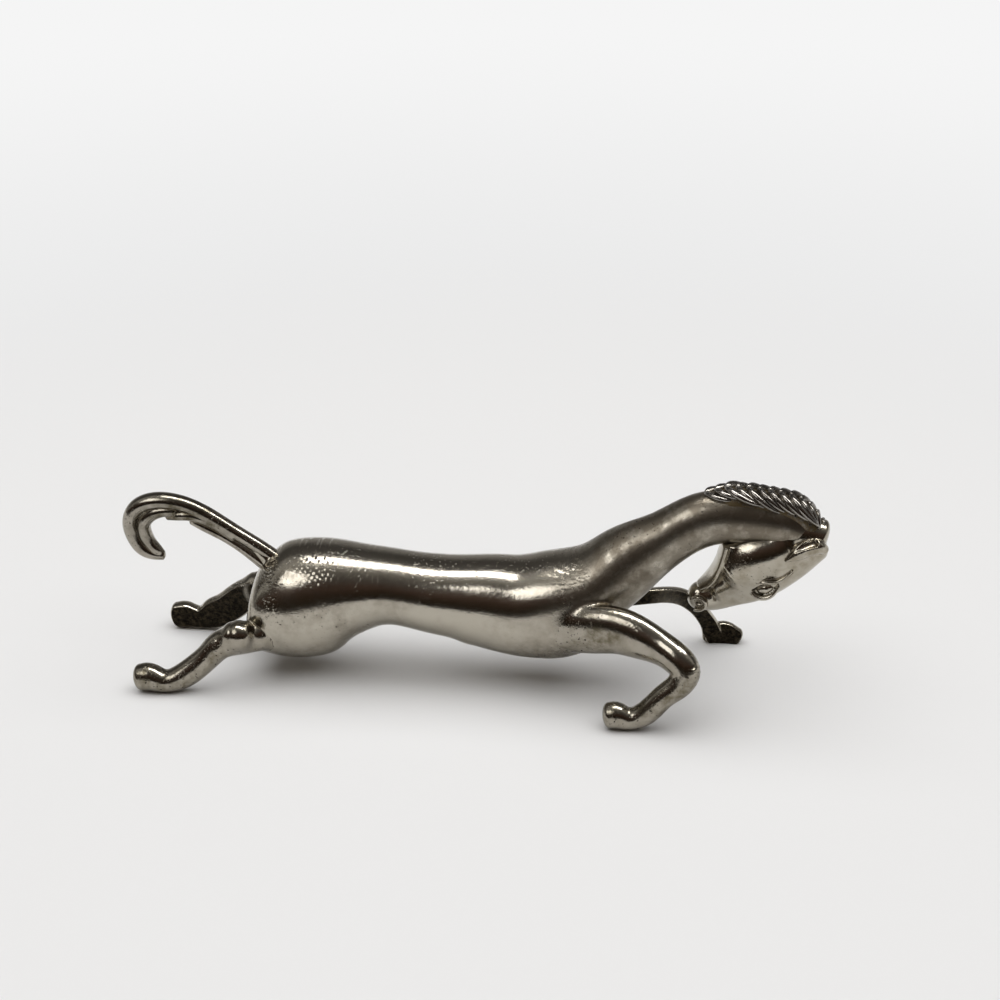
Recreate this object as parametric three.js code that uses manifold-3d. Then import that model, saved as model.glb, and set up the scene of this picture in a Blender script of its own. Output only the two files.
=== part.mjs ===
// Galloping horse, a free-standing polished casting in the streamlined style of the 1930s.
// Eight castings: the body with its neck, and soldered to it a head, a mane, a tail and four legs.
// Each casting has a spigot that sits in a socket of the body, and a seat that follows the body's
// surface at a small gap, the solder gap.
//
// Frame: millimetres, +X toward the head, +Y toward the horse's left, +Z up, soles on Z = 0.

import * as THREE from 'three';
import { mergeVertices } from 'three/addons/utils/BufferGeometryUtils.js';
import Module from 'manifold-3d';

const wasm = await Module();
wasm.setup();

// ---------------------------------------------------------------- driving dimensions

const solderGap = 0.3;         // between a seat and the body's surface
const spigotClearance = 0.3;   // between a spigot and the wall and floor of its socket

// Trunk: places along X of its three widest and narrowest sections
const haunchX = -25;
const haunchToWaist = 13;
const waistToChest = 24;
const rumpLength = 4.5;        // from the haunch back to the last full section

const haunch = { z: 10.8, high: 8.4, wide: 7.8 };
const waist = { z: 13.6, high: 5.4, wide: 6.0 };
const chest = { z: 11.8, high: 8.0, wide: 7.4 };

// Neck: from the chest to the poll, the point of the skull behind the ears
const pollReach = 34;          // forward of the chest
const pollZ = 24.9;
const neckHalfHeight = 3.7;
const neckHalfWidth = 3.3;

// Head, measured from the poll along its own axis, which points back and down
const headLength = 18.6;
const headDrop = 34;           // degrees below the horizontal
const cheekHalfDepth = 4.5;
const cheekHalfWidth = 3.7;
const muzzleHalfDepth = 2.2;
const muzzleHalfWidth = 2.1;
const earLength = 4.2;
const earHalfWidth = 1.1;

// Mane: a saddle on the crest of the neck, from part way up the neck to the forelock
const maneHalfWidth = 2.9;
const maneHalfHeight = 1.9;
const maneLift = 1.4;          // of its top above the crest of the neck

// Tail, measured from its root on the rump
const tailReach = 17.6;        // back to the axis of the curl
const tailRise = 8.2;          // up to the axis of the top of the curl
const tailHalfHeight = 1.4;
const tailHalfWidth = 1.6;

// Legs: where the axes of the hooves stand, and how thick the shanks and hooves are
const hindStance = 9.4;        // sideways from the mid plane
const foreStance = 13.2;
const hindReach = 19;          // back from the haunch to the toe's axis
const shankHalfHeight = 1.6;
const shankHalfWidth = 1.5;
const hoofHalfHeight = 2.2;
const hoofHalfWidth = 1.9;
const soleCut = 0.5;           // how much of a hoof's round underside its flat sole cuts away
const innerFlat = 0.5;         // how far a leg's flat inner face lies from its axis, in half widths

// Spigots: depth is their reach beyond the seat into the body, root their reach into the casting
const legSpigot = { radius: 1.4, depth: 2.6, root: 1.3 };
const headSpigot = { radius: 1.5, depth: 2.4, root: 1.6 };
const tailSpigot = { radius: 1.0, depth: 3.0, root: 1.3 };
const maneSpigot = { radius: 0.8, depth: 1.4, root: 0.8 };

const castingSides = 22;       // facets round a section

// ---------------------------------------------------------------- materials

const plate = (color, roughness) => new THREE.MeshStandardMaterial({ color, roughness, metalness: 1 });

// ---------------------------------------------------------------- solids

/** A manifold solid from a closed three.js geometry. */
function solidOf(geometry) {
  const bare = geometry.clone();
  bare.deleteAttribute('normal');
  bare.deleteAttribute('uv');
  const merged = mergeVertices(bare, 1e-5);
  const mesh = new wasm.Mesh({
    numProp: 3,
    vertProperties: new Float32Array(merged.attributes.position.array),
    triVerts: new Uint32Array(merged.index.array),
  });
  return new wasm.Manifold(mesh);
}

/** A three.js geometry from a manifold solid. */
function geometryOf(solid) {
  const mesh = solid.getMesh();
  const geometry = new THREE.BufferGeometry();
  geometry.setAttribute('position', new THREE.BufferAttribute(new Float32Array(mesh.vertProperties), 3));
  geometry.setIndex(new THREE.BufferAttribute(new Uint32Array(mesh.triVerts), 1));
  geometry.computeVertexNormals();
  return geometry;
}

/**
 * A closed skin through rounded sections that stand square to a smooth spine.
 * stations: { x, y, z, high, wide } with the half sizes of each section.
 * rings: sections per span. domes: length of the rounded ends [first, last].
 * flatSide: +1 or -1 cuts the sections flat on the +Y or -Y side, 0 leaves them round.
 * grow: how far the skin lies outside its true surface.
 */
function loft(stations, { rings, domes, flatSide = 0, grow = 0 }) {
  const spine = new THREE.CatmullRomCurve3(
    stations.map((s) => new THREE.Vector3(s.x, s.y, s.z)), false, 'catmullrom');
  const sizes = new THREE.CatmullRomCurve3(
    stations.map((s) => new THREE.Vector3(s.high, s.wide, 0)), false, 'catmullrom');
  const ringCount = rings * (stations.length - 1);
  const domeAngles = [75, 50, 25];
  const sections = [];

  const addSection = (t, share, outward) => {
    const tangent = spine.getTangent(t);
    const side = new THREE.Vector3(0, 1, 0).addScaledVector(tangent, -tangent.y).normalize();
    const up = tangent.clone().cross(side);
    const size = sizes.getPoint(t);
    const centre = spine.getPoint(t).addScaledVector(tangent, outward);
    sections.push({ centre, side, up, high: (size.x + grow) * share, wide: (size.y + grow) * share });
  };

  const radians = THREE.MathUtils.degToRad;
  for (const angle of domeAngles) {
    addSection(0, Math.cos(radians(angle)), -(domes[0] + grow) * Math.sin(radians(angle)));
  }
  for (let i = 0; i <= ringCount; i += 1) addSection(i / ringCount, 1, 0);
  for (const angle of domeAngles.toReversed()) {
    addSection(1, Math.cos(radians(angle)), (domes[1] + grow) * Math.sin(radians(angle)));
  }

  const positions = [];
  for (const { centre, side, up, high, wide } of sections) {
    const flat = (wide - grow) * innerFlat + grow;
    for (let k = 0; k < castingSides; k += 1) {
      const angle = (2 * Math.PI * k) / castingSides;
      let across = wide * Math.cos(angle);
      if (flatSide * across > flat) across = flatSide * flat;
      const point = centre.clone().addScaledVector(side, across).addScaledVector(up, high * Math.sin(angle));
      positions.push(...point);
    }
  }
  const first = positions.length / 3;
  positions.push(...spine.getPoint(0).addScaledVector(spine.getTangent(0), -(domes[0] + grow)));
  positions.push(...spine.getPoint(1).addScaledVector(spine.getTangent(1), domes[1] + grow));

  const faces = [];
  const last = sections.length - 1;
  for (let k = 0; k < castingSides; k += 1) {
    const next = (k + 1) % castingSides;
    for (let i = 0; i < last; i += 1) {
      const a = i * castingSides;
      const b = (i + 1) * castingSides;
      faces.push(a + k, a + next, b + next, a + k, b + next, b + k);
    }
    faces.push(first, next, k);
    faces.push(first + 1, last * castingSides + k, last * castingSides + next);
  }
  const geometry = new THREE.BufferGeometry();
  geometry.setAttribute('position', new THREE.Float32BufferAttribute(positions, 3));
  geometry.setIndex(faces);
  return solidOf(geometry);
}

/** A round pin that starts `back` behind a seat and ends `depth` beyond it, toward `aim`. */
function pin(seat, aim, radius, depth, back) {
  const length = depth + back;
  const geometry = new THREE.CylinderGeometry(radius, radius, length, 20);
  const direction = aim.clone().sub(seat).normalize();
  const turn = new THREE.Quaternion().setFromUnitVectors(new THREE.Vector3(0, 1, 0), direction);
  const middle = seat.clone().addScaledVector(direction, (depth - back) / 2);
  geometry.applyMatrix4(new THREE.Matrix4().compose(middle, turn, new THREE.Vector3(1, 1, 1)));
  return solidOf(geometry);
}

/** An ellipsoid with its long half axis along a direction in the X-Z plane. */
function leaf(centre, direction, half) {
  const geometry = new THREE.SphereGeometry(1, 16, 12);
  const turn = new THREE.Quaternion().setFromUnitVectors(new THREE.Vector3(1, 0, 0), direction);
  geometry.applyMatrix4(new THREE.Matrix4().compose(centre, turn, half));
  return solidOf(geometry);
}

// ---------------------------------------------------------------- body

const waistX = haunchX + haunchToWaist;
const chestX = waistX + waistToChest;
const rumpX = haunchX - rumpLength;
const pollX = chestX + pollReach;

const bodyStations = [
  { x: rumpX, y: 0, z: haunch.z - 0.8, high: haunch.high - 1.0, wide: haunch.wide - 0.9 },
  { x: haunchX - 1, y: 0, z: haunch.z - 0.1, high: haunch.high, wide: haunch.wide },
  { x: haunchX + haunchToWaist / 4, y: 0, z: haunch.z + 0.9, high: haunch.high - 0.6, wide: haunch.wide - 0.2 },
  { x: waistX - haunchToWaist / 3, y: 0, z: waist.z - 0.3, high: waist.high + 1.1, wide: waist.wide + 0.7 },
  { x: waistX, y: 0, z: waist.z, high: waist.high, wide: waist.wide },
  { x: waistX + waistToChest / 4, y: 0, z: waist.z - 0.8, high: waist.high + 0.2, wide: waist.wide },
  { x: waistX + waistToChest / 2, y: 0, z: chest.z + 0.5, high: chest.high - 2.0, wide: chest.wide - 1.1 },
  { x: chestX - waistToChest / 4, y: 0, z: chest.z - 0.1, high: chest.high - 0.9, wide: chest.wide - 0.4 },
  { x: chestX, y: 0, z: chest.z, high: chest.high, wide: chest.wide },
  { x: chestX + 6, y: 0, z: chest.z + 2.9, high: chest.high - 0.7, wide: chest.wide - 1.0 },
  { x: chestX + 10.5, y: 0, z: chest.z + 6.6, high: neckHalfHeight + 1.1, wide: neckHalfWidth + 1.2 },
  { x: chestX + 15.5, y: 0, z: pollZ - 2.0, high: neckHalfHeight, wide: neckHalfWidth + 0.4 },
  { x: pollX - 13, y: 0, z: pollZ + 1.3, high: neckHalfHeight, wide: neckHalfWidth },
  { x: pollX - 7, y: 0, z: pollZ + 2.0, high: neckHalfHeight - 0.1, wide: neckHalfWidth },
  { x: pollX - 1.5, y: 0, z: pollZ + 0.8, high: neckHalfHeight - 0.6, wide: neckHalfWidth - 0.5 },
];
const bodyShape = { rings: 3, domes: [2.6, 1.6] };
const bodyRound = loft(bodyStations, bodyShape);
const bodySeat = loft(bodyStations, { ...bodyShape, grow: solderGap });

/** Height of the body's axis and half height of its section at a place along X. */
function bodyAt(x) {
  const next = bodyStations.findIndex((s) => s.x >= x);
  const [a, b] = [bodyStations[next - 1], bodyStations[next]];
  const between = (key) => THREE.MathUtils.mapLinear(x, a.x, b.x, a[key], b[key]);
  return { z: between('z'), high: between('high') };
}

// ---------------------------------------------------------------- castings on the body

const sockets = [];

/** Cuts a casting's seat to the body, adds its spigot and notes the socket. */
function seated(shape, seat, aim, spigot, keepOut = []) {
  let casting = shape.subtract(bodySeat);
  for (const other of keepOut) casting = casting.subtract(other);
  const { radius, depth, root } = spigot;
  sockets.push(pin(seat, aim, radius + spigotClearance, depth + spigotClearance, root));
  return casting.add(pin(seat, aim, radius, depth, root));
}

// Head: sections along an axis that falls from the poll back to the muzzle
const headAngle = THREE.MathUtils.degToRad(headDrop);
const headAxis = new THREE.Vector3(-Math.cos(headAngle), 0, -Math.sin(headAngle));
const headUp = new THREE.Vector3(-Math.sin(headAngle), 0, Math.cos(headAngle));
const poll = new THREE.Vector3(pollX + 1.9, 0, pollZ - 1.1);

/** A section of the head: its place along the axis, its offset toward the jaw, its half sizes. */
function headStation(along, toJaw, high, wide) {
  const place = poll.clone().addScaledVector(headAxis, along).addScaledVector(headUp, toJaw);
  return { x: place.x, y: place.y, z: place.z, high, wide };
}
const headStations = [
  headStation(0.5, -0.4, cheekHalfDepth - 1.5, cheekHalfWidth - 0.9),
  headStation(4, -0.4, cheekHalfDepth - 0.3, cheekHalfWidth - 0.1),
  headStation(8, -0.2, cheekHalfDepth, cheekHalfWidth),
  headStation(headLength - 7.2, -0.3, cheekHalfDepth - 0.7, cheekHalfWidth - 0.4),
  headStation(headLength - 4.4, -0.3, muzzleHalfDepth + 0.4, muzzleHalfWidth + 0.3),
  headStation(headLength - 1.8, -0.3, muzzleHalfDepth, muzzleHalfWidth),
];
const headShape = { rings: 3, domes: [2.4, 1.8] };
const earAxis = new THREE.Vector3(-1, 0, 0);
const ears = [-1, 1].map((side) => {
  const place = new THREE.Vector3(poll.x - 4.4, side * (cheekHalfWidth - 0.5), poll.z - 1.7);
  return leaf(place, earAxis, new THREE.Vector3(earLength / 2, 0.8, earHalfWidth));
});
const headRound = loft(headStations, headShape).add(ears[0]).add(ears[1]);
const headSeat = loft(headStations, { ...headShape, grow: solderGap });
const headSeatX = pollX - 4.5;
const throat = bodyAt(headSeatX);
const headSeatZ = throat.z - throat.high - solderGap / 2;
const head = seated(
  headRound,
  new THREE.Vector3(headSeatX, 0, headSeatZ),
  new THREE.Vector3(headSeatX, 0, headSeatZ + 1),
  headSpigot,
);

/** A section of the mane on the crest of the neck. */
function maneStation(x, high, wide) {
  const neck = bodyAt(x);
  return { x, y: 0, z: neck.z + neck.high + maneLift - high, high, wide };
}

// Mane: it starts thin, follows the crest of the neck and ends as a forelock over the brow
const maneStations = [
  maneStation(pollX - 12.4, maneHalfHeight - 0.8, maneHalfWidth - 1.5),
  maneStation(pollX - 9, maneHalfHeight, maneHalfWidth - 0.2),
  maneStation(pollX - 5, maneHalfHeight, maneHalfWidth),
  maneStation(pollX - 1.6, maneHalfHeight, maneHalfWidth),
  { x: pollX + 0.8, y: 0, z: pollZ + 2.4, high: maneHalfHeight, wide: maneHalfWidth - 0.2 },
  { x: pollX + 2.6, y: 0, z: pollZ - 0.4, high: maneHalfHeight - 0.5, wide: maneHalfWidth - 0.7 },
];
const maneRound = loft(maneStations, { rings: 3, domes: [1.2, 1.0] });
const maneSpigotX = pollX - 9.5;
const crest = bodyAt(maneSpigotX);
const crestZ = crest.z + crest.high + solderGap / 2;
const mane = seated(
  maneRound,
  new THREE.Vector3(maneSpigotX, 0, crestZ),
  new THREE.Vector3(maneSpigotX, 0, crestZ - 1),
  maneSpigot,
  [headSeat],
);

// Tail: it rises back from the rump and curls over to a tip that points forward and down
const tailRootX = haunchX - 5.2;
const tailRootZ = haunch.z + 6.2;
const tailStations = [
  [-2.6, -2.6, 0.2, 0.1], [0, 0, 0.1, 0], [2.8, 2.4, -0.15, -0.2], [6.2, 5.4, 0, -0.1],
  [tailReach - 7.4, tailRise - 0.6, 0.1, 0], [tailReach - 3.6, tailRise, 0.1, 0.1],
  [tailReach - 1.0, tailRise - 1.2, 0.3, 0.1], [tailReach, tailRise - 4.2, 0.4, 0],
  [tailReach - 1.0, tailRise - 6.9, 0.1, -0.3], [tailReach - 2.8, tailRise - 8.0, -0.6, -0.8],
].map(([back, up, high, wide]) => ({
  x: tailRootX - back, y: 0, z: tailRootZ + up, high: tailHalfHeight + high, wide: tailHalfWidth + wide,
}));
const tail = seated(
  loft(tailStations, { rings: 2, domes: [0.6, 0.5] }),
  new THREE.Vector3(tailRootX, 0, tailRootZ),
  new THREE.Vector3(haunchX, 0, haunch.z + 3),
  tailSpigot,
);

// Legs: each is flat on its inner face and cut flat underneath where it stands
const ground = solidOf(new THREE.BoxGeometry(400, 400, 40).translate(0, 0, -20));

/**
 * One leg. route: [x, share of the way out to the stance, z, half height, half width] per section.
 */
function leg(side, rootY, stance, route, seatIndex, aim) {
  const stations = route.map(([x, out, z, high, wide]) => ({
    x, y: side * THREE.MathUtils.lerp(rootY, stance, out), z, high, wide,
  }));
  const shape = loft(stations, { rings: 2, domes: [0.8, 0.9], flatSide: -side });
  const { x, y, z } = stations[seatIndex];
  const inward = new THREE.Vector3(aim.x, side * aim.y, aim.z);
  return seated(shape, new THREE.Vector3(x, y, z), inward, legSpigot, [ground]);
}

const toeX = haunchX - hindReach;
const hoofZ = hoofHalfHeight - soleCut;
const pasternZ = shankHalfHeight - soleCut + 0.3;
const hindRoute = [
  [haunchX - 1, -0.5, 8.2, 2.0, 1.6],
  [haunchX - 4, 0.1, 8.0, 2.6, 1.9],
  [haunchX - 7.4, 0.3, 8.0, 2.6, 2.0],
  [haunchX - 10, 0.5, 6.4, shankHalfHeight + 0.3, shankHalfWidth + 0.2],
  [toeX + 7.4, 0.8, 3.9, shankHalfHeight, shankHalfWidth],
  [toeX + 3.8, 1, pasternZ, shankHalfHeight + 0.1, shankHalfWidth + 0.2],
  [toeX + 0.6, 1, hoofZ, hoofHalfHeight, hoofHalfWidth],
  [toeX - 1.4, 1, hoofZ - 0.1, hoofHalfHeight - 0.4, hoofHalfWidth - 0.3],
];
const hindRootY = haunch.wide - 1.9;
const hindAim = { x: haunchX, y: haunch.wide - 4.5, z: haunch.z - 1 };
const hindLegs = [-1, 1].map((side) => leg(side, hindRootY, hindStance, hindRoute, 1, hindAim));

const foreRootY = chest.wide - 0.8;
const foreAim = { x: chestX + 4, y: 0, z: chest.z + 1 };
const foldedRoute = [
  [chestX + 2, -0.4, chest.z + 0.2, 2.2, 2.0],
  [chestX + 6, 0, chest.z + 0.2, 2.9, 2.2],
  [chestX + 10.6, 0.22, chest.z + 0.3, 2.9, 2.1],
  [chestX + 15, 0.5, chest.z - 0.7, 2.4, 1.9],
  [chestX + 19.2, 0.86, 9.6, shankHalfHeight + 0.4, shankHalfWidth + 0.3],
  [chestX + 18.9, 0.95, 7.2, shankHalfHeight + 0.2, shankHalfWidth + 0.2],
  [chestX + 15.6, 1, 4.0, shankHalfHeight, shankHalfWidth],
  [chestX + 12.6, 1, pasternZ + 0.2, shankHalfHeight + 0.2, shankHalfWidth],
  [chestX + 9.6, 1, hoofZ, hoofHalfHeight, hoofHalfWidth],
];
const stretchedRoute = [
  [chestX + 2, -0.4, chest.z - 0.4, 2.2, 2.0],
  [chestX + 6, 0, chest.z - 0.5, 2.2, 2.0],
  [chestX + 11, 0.1, chest.z - 0.9, 1.8, 1.8],
  [chestX + 15.6, 0.3, chest.z - 2.1, shankHalfHeight, shankHalfWidth + 0.2],
  [chestX + 19.6, 0.6, chest.z - 4.3, shankHalfHeight, shankHalfWidth],
  [chestX + 21.8, 0.86, 4.4, shankHalfHeight, shankHalfWidth],
  [chestX + 24, 1, hoofZ, hoofHalfHeight, hoofHalfWidth],
  [chestX + 25.6, 1, 0, hoofHalfHeight - 0.2, hoofHalfWidth],
];
const rightForeleg = leg(-1, foreRootY, foreStance, foldedRoute, 1, foreAim);
const leftForeleg = leg(1, foreRootY, foreStance, stretchedRoute, 1, foreAim);

let body = bodyRound;
for (const socket of sockets) body = body.subtract(socket);

// ---------------------------------------------------------------- the horse

const castings = [
  ['body', body, plate(0x9a9790, 0.16)],
  ['head', head, plate(0xa09c94, 0.2)],
  ['mane', mane, plate(0x8d8a84, 0.26)],
  ['tail', tail, plate(0x8f8b83, 0.24)],
  ['right_foreleg', rightForeleg, plate(0x96928a, 0.2)],
  ['left_foreleg', leftForeleg, plate(0x77736d, 0.38)],
  ['right_hind_leg', hindLegs[0], plate(0x96928a, 0.2)],
  ['left_hind_leg', hindLegs[1], plate(0x77736d, 0.38)],
];

const horse = new THREE.Group();
for (const [name, solid, material] of castings) {
  const mesh = new THREE.Mesh(geometryOf(solid), material);
  mesh.name = name;
  horse.add(mesh);
}

// The origin lies under the middle of the whole figure
const middle = new THREE.Box3().setFromObject(horse).getCenter(new THREE.Vector3());
for (const mesh of horse.children) mesh.position.set(-middle.x, -middle.y, 0);

export default horse;
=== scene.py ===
"""A free-standing plated casting of a horse stretched at full gallop.

The CAD frame gives the castings and their places. This script gives each casting its modelled
surface, its silver plate with pits and tarnish, and a plain pale studio.
Lengths are in millimetres until a mesh is made, and the meshes are in metres.
"""

import logging
import math
from dataclasses import dataclass, field
from enum import Enum
from typing import Sequence

import bpy
import numpy as np
from mathutils import Euler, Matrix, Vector


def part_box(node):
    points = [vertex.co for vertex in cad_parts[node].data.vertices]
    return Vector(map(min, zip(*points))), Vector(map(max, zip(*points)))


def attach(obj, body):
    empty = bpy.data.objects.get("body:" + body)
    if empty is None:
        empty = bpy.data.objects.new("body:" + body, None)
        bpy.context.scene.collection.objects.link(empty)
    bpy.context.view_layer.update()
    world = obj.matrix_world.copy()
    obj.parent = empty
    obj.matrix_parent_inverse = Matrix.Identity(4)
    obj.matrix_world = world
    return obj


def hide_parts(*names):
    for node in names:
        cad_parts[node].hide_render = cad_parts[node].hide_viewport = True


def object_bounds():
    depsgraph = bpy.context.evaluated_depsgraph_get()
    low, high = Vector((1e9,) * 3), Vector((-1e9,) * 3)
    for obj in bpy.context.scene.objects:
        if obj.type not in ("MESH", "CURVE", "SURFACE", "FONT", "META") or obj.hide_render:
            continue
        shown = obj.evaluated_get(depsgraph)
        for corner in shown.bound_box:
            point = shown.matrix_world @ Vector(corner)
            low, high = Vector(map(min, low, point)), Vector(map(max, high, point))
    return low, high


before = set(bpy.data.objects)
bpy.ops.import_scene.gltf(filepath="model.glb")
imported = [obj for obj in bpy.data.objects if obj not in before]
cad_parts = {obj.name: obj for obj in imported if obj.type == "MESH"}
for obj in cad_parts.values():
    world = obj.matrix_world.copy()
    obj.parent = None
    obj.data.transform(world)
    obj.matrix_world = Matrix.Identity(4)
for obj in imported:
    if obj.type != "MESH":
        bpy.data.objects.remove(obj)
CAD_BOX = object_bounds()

LOG = logging.getLogger("horse")
MM = 0.001
FAR = 6.0  # distances in millimetres are not told apart beyond this
SLOPE_STEP = 0.04  # half the span over which a slope is measured, in millimetres
SETTLE_ROUNDS = 3
POINTS_AT_ONCE = 40000  # keeps the tables of distances small
CELLS_AT_ONCE = 200000
RING_TURNS = 6  # directions in which a hollow is felt for
CREST_STEPS = 60
SENSOR_WIDTH = 36.0  # full frame, in millimetres
SHELL_RADIUS = 3.0  # in metres, like the table
TABLE_HALF_WIDTH = 0.8
TABLE_DEPTH = 0.9
MATH = "ShaderNodeMath"
FADE = "ShaderNodeMapRange"
# painted shade: the bed between the locks is marked as a hollow so that it is painted dark
BED_SHADE = 0.55  # how dark the bed between the locks is, from 0 to 1
CAD_MARGIN = 2.0  # room round the CAD box for a finer skin, in millimetres
Point = tuple[float, float, float]
Station = tuple[float, float, float, float, float]


class Side(Enum):
    """The two sides of the horse, as the sign of Y."""

    RIGHT = -1
    LEFT = 1


class Grain(Enum):
    BROAD = (0.25, 0.42)
    FINE = (0.14, 0.24)

    def cell(self) -> float:
        """The cell size for this run."""
        return self.value[0]


# ------------------------------------------------------------------ soft shapes as distance fields


def spline(knots: np.ndarray, values: np.ndarray, at: np.ndarray) -> np.ndarray:
    """A natural cubic spline, smooth in slope and curvature.

    Args:
        knots: the places of the values, rising.
        values: one row for each knot.
        at: the places to read.

    Returns:
        One row for each place read.
    """
    count = len(knots)
    gap = np.diff(knots)
    system = np.eye(count)
    right = np.zeros_like(values)
    for i in range(1, count - 1):
        system[i, i - 1 : i + 2] = gap[i - 1], 2 * (gap[i - 1] + gap[i]), gap[i]
        rise = (values[i + 1] - values[i]) / gap[i] - (values[i] - values[i - 1]) / gap[i - 1]
        right[i] = 6 * rise
    bend = np.linalg.solve(system, right)
    i = np.clip(np.searchsorted(knots, at) - 1, 0, count - 2)
    h = gap[i][:, None]
    a = (knots[i + 1] - at)[:, None]
    b = (at - knots[i])[:, None]
    curved = (bend[i] * a**3 + bend[i + 1] * b**3) / (6 * h)
    straight = (values[i] / h - bend[i] * h / 6) * a + (values[i + 1] / h - bend[i + 1] * h / 6) * b
    return curved + straight


def soft_min(a: np.ndarray, b: np.ndarray, radius: np.ndarray | float) -> np.ndarray:
    """The nearer of two distances, with a fillet of about the given radius where they meet."""
    overlap = np.maximum(radius - np.abs(a - b), 0) / radius
    return np.minimum(a, b) - overlap**3 * radius / 6


def soft_max(a: np.ndarray, b: np.ndarray, radius: np.ndarray | float) -> np.ndarray:
    """The farther of two distances, with the edge where they meet rounded."""
    return -soft_min(-a, -b, radius)


@dataclass
class Tube:
    """A rounded limb: sections square to a smooth spine, whose half sizes change along it.

    Each station is (x, y, z, half height, half width) in millimetres. The half width lies
    across the horse. `caps` are the lengths of the rounded ends, and `blunt` above 2 squares
    them off. `flat`, if given, cuts the inner side flat at that share of the half width.
    """

    stations: Sequence[Station]
    caps: tuple[float, float] = (1.0, 1.0)
    blunt: float = 2.0
    flat: float | None = None
    inner: int = 0
    pitch: float = 0.3

    def __post_init__(self) -> None:
        """Reads the smooth spine at close steps, with its half sizes and directions."""
        rows = np.array(self.stations, float)
        steps = np.linalg.norm(np.diff(rows[:, :3], axis=0), axis=1)
        knots = np.concatenate([[0], np.cumsum(steps)])
        self.length = knots[-1]
        self.at = np.linspace(0, self.length, max(8, int(self.length / self.pitch)))
        dense = spline(knots, rows, self.at)
        self.centre = dense[:, :3]
        self.half = np.maximum(dense[:, 3:], 0.05)
        tangent = np.gradient(self.centre, self.at, axis=0)
        self.tangent = tangent / np.linalg.norm(tangent, axis=1, keepdims=True)
        side = np.array([0.0, 1.0, 0.0]) - self.tangent * self.tangent[:, 1:2]
        self.side = side / np.linalg.norm(side, axis=1, keepdims=True)
        self.up = np.cross(self.tangent, self.side)
        reach = self.half.max() + max(self.caps) + FAR * 0.5
        self.low = self.centre.min(0) - reach
        self.high = self.centre.max(0) + reach

    def distance(self, points: np.ndarray) -> np.ndarray:
        """How far each point lies outside the limb, less than nought inside it.

        Args:
            points: places to read, one to a row.

        Returns:
            One distance for each point.
        """
        result = np.full(len(points), FAR)
        near = ((points > self.low) & (points < self.high)).all(1)
        index = np.flatnonzero(near)
        for start in range(0, len(index), POINTS_AT_ONCE):
            chunk = index[start : start + POINTS_AT_ONCE]
            result[chunk] = self._near_distance(points[chunk])
        return result

    def _near_distance(self, points: np.ndarray) -> np.ndarray:
        """The distance of points close to the limb.

        Args:
            points: places to read, one to a row.

        Returns:
            One distance for each point.
        """
        squared = (self.centre**2).sum(1)[None] - 2 * points @ self.centre.T
        i = squared.argmin(1)
        offset = ((points - self.centre[i]) * self.tangent[i]).sum(1)
        place = np.clip(self.at[i] + offset, 0, self.length)
        step = self.at[1] - self.at[0]
        j = np.clip((place / step).astype(int), 0, len(self.at) - 2)
        share = (place / step - j)[:, None]

        def read(rows: np.ndarray) -> np.ndarray:
            """Rows of the dense spine at each point's own place."""
            return rows[j] * (1 - share) + rows[j + 1] * share

        away = points - read(self.centre)
        half = read(self.half)
        along = (away * read(self.tangent)).sum(1)
        across = (away * read(self.side)).sum(1)
        upward = (away * read(self.up)).sum(1)
        beyond = np.where(place <= 0, -along, np.where(place >= self.length, along, 0))
        beyond = np.maximum(beyond, 0)
        cap = np.where(place <= 0, self.caps[0], self.caps[1])
        ring = (upward / half[:, 0]) ** 2 + (across / half[:, 1]) ** 2
        size = (ring ** (self.blunt / 2) + (beyond / cap) ** self.blunt) ** (1 / self.blunt)
        slope = (upward / half[:, 0] ** 2) ** 2 + (across / half[:, 1] ** 2) ** 2 + (beyond / cap**2) ** 2
        result = size * (size - 1) / np.sqrt(slope + 1e-6)
        result = np.where(size < 0.25, -0.75 * half.min(1), result)
        if self.flat is not None:
            result = soft_max(result, self.inner * across - self.flat * half[:, 1], 0.35)
        return np.clip(result, -FAR, FAR)


def rows_at(x: float, rows: Sequence[Sequence[float]], side: int = 1) -> list[Station]:
    """Stations of a limb, given from a starting X, and mirrored when the side is -1.

    Args:
        x: where the limb's own X starts.
        rows: X from that start, Y, Z, half height and half width.
        side: 1 to keep the rows' side, or -1 for the other.

    Returns:
        The stations in the frame.
    """
    return [(x + along, side * y, z, high, wide) for along, y, z, high, wide in rows]


@dataclass
class Fillet:
    """A fillet whose radius changes with height: `low` at `low_z` and below, `high` at `high_z`."""

    low: float
    high: float
    low_z: float = 0.0
    high_z: float = 1.0

    def radius(self, points: np.ndarray) -> np.ndarray:
        """The radius at each point."""
        share = np.clip((points[:, 2] - self.low_z) / (self.high_z - self.low_z), 0, 1)
        return self.low + (self.high - self.low) * share


@dataclass
class Member:
    """One named casting in a sculpted group: its limbs, and the fillet by which it joins."""

    name: str
    limbs: Sequence[Tube]
    fillet: Fillet
    inside: float = 0.5

    def distance(self, points: np.ndarray) -> np.ndarray:
        """The distance to all of the member's own limbs, softly joined.

        Args:
            points: places to read, one to a row.

        Returns:
            One distance for each point.
        """
        result = self.limbs[0].distance(points)
        for limb in self.limbs[1:]:
            result = soft_min(result, limb.distance(points), self.inside)
        return result


@dataclass
class Rump(Member):
    """A member whose rear is cut off nearly upright, with its edges well rounded."""

    at: tuple[float, float] = (0, 0)
    lean: float = 0.2
    edge: float = 3.6

    def distance(self, points: np.ndarray) -> np.ndarray:
        """The distance to the limbs in front of the leaning plane.

        Args:
            points: places to read, one to a row.

        Returns:
            One distance for each point.
        """
        behind = -(points[:, 0] - self.at[0]) + self.lean * (points[:, 2] - self.at[1])
        cut = behind / math.hypot(1, self.lean)
        return soft_max(super().distance(points), np.clip(cut, -FAR, FAR), self.edge)


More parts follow.
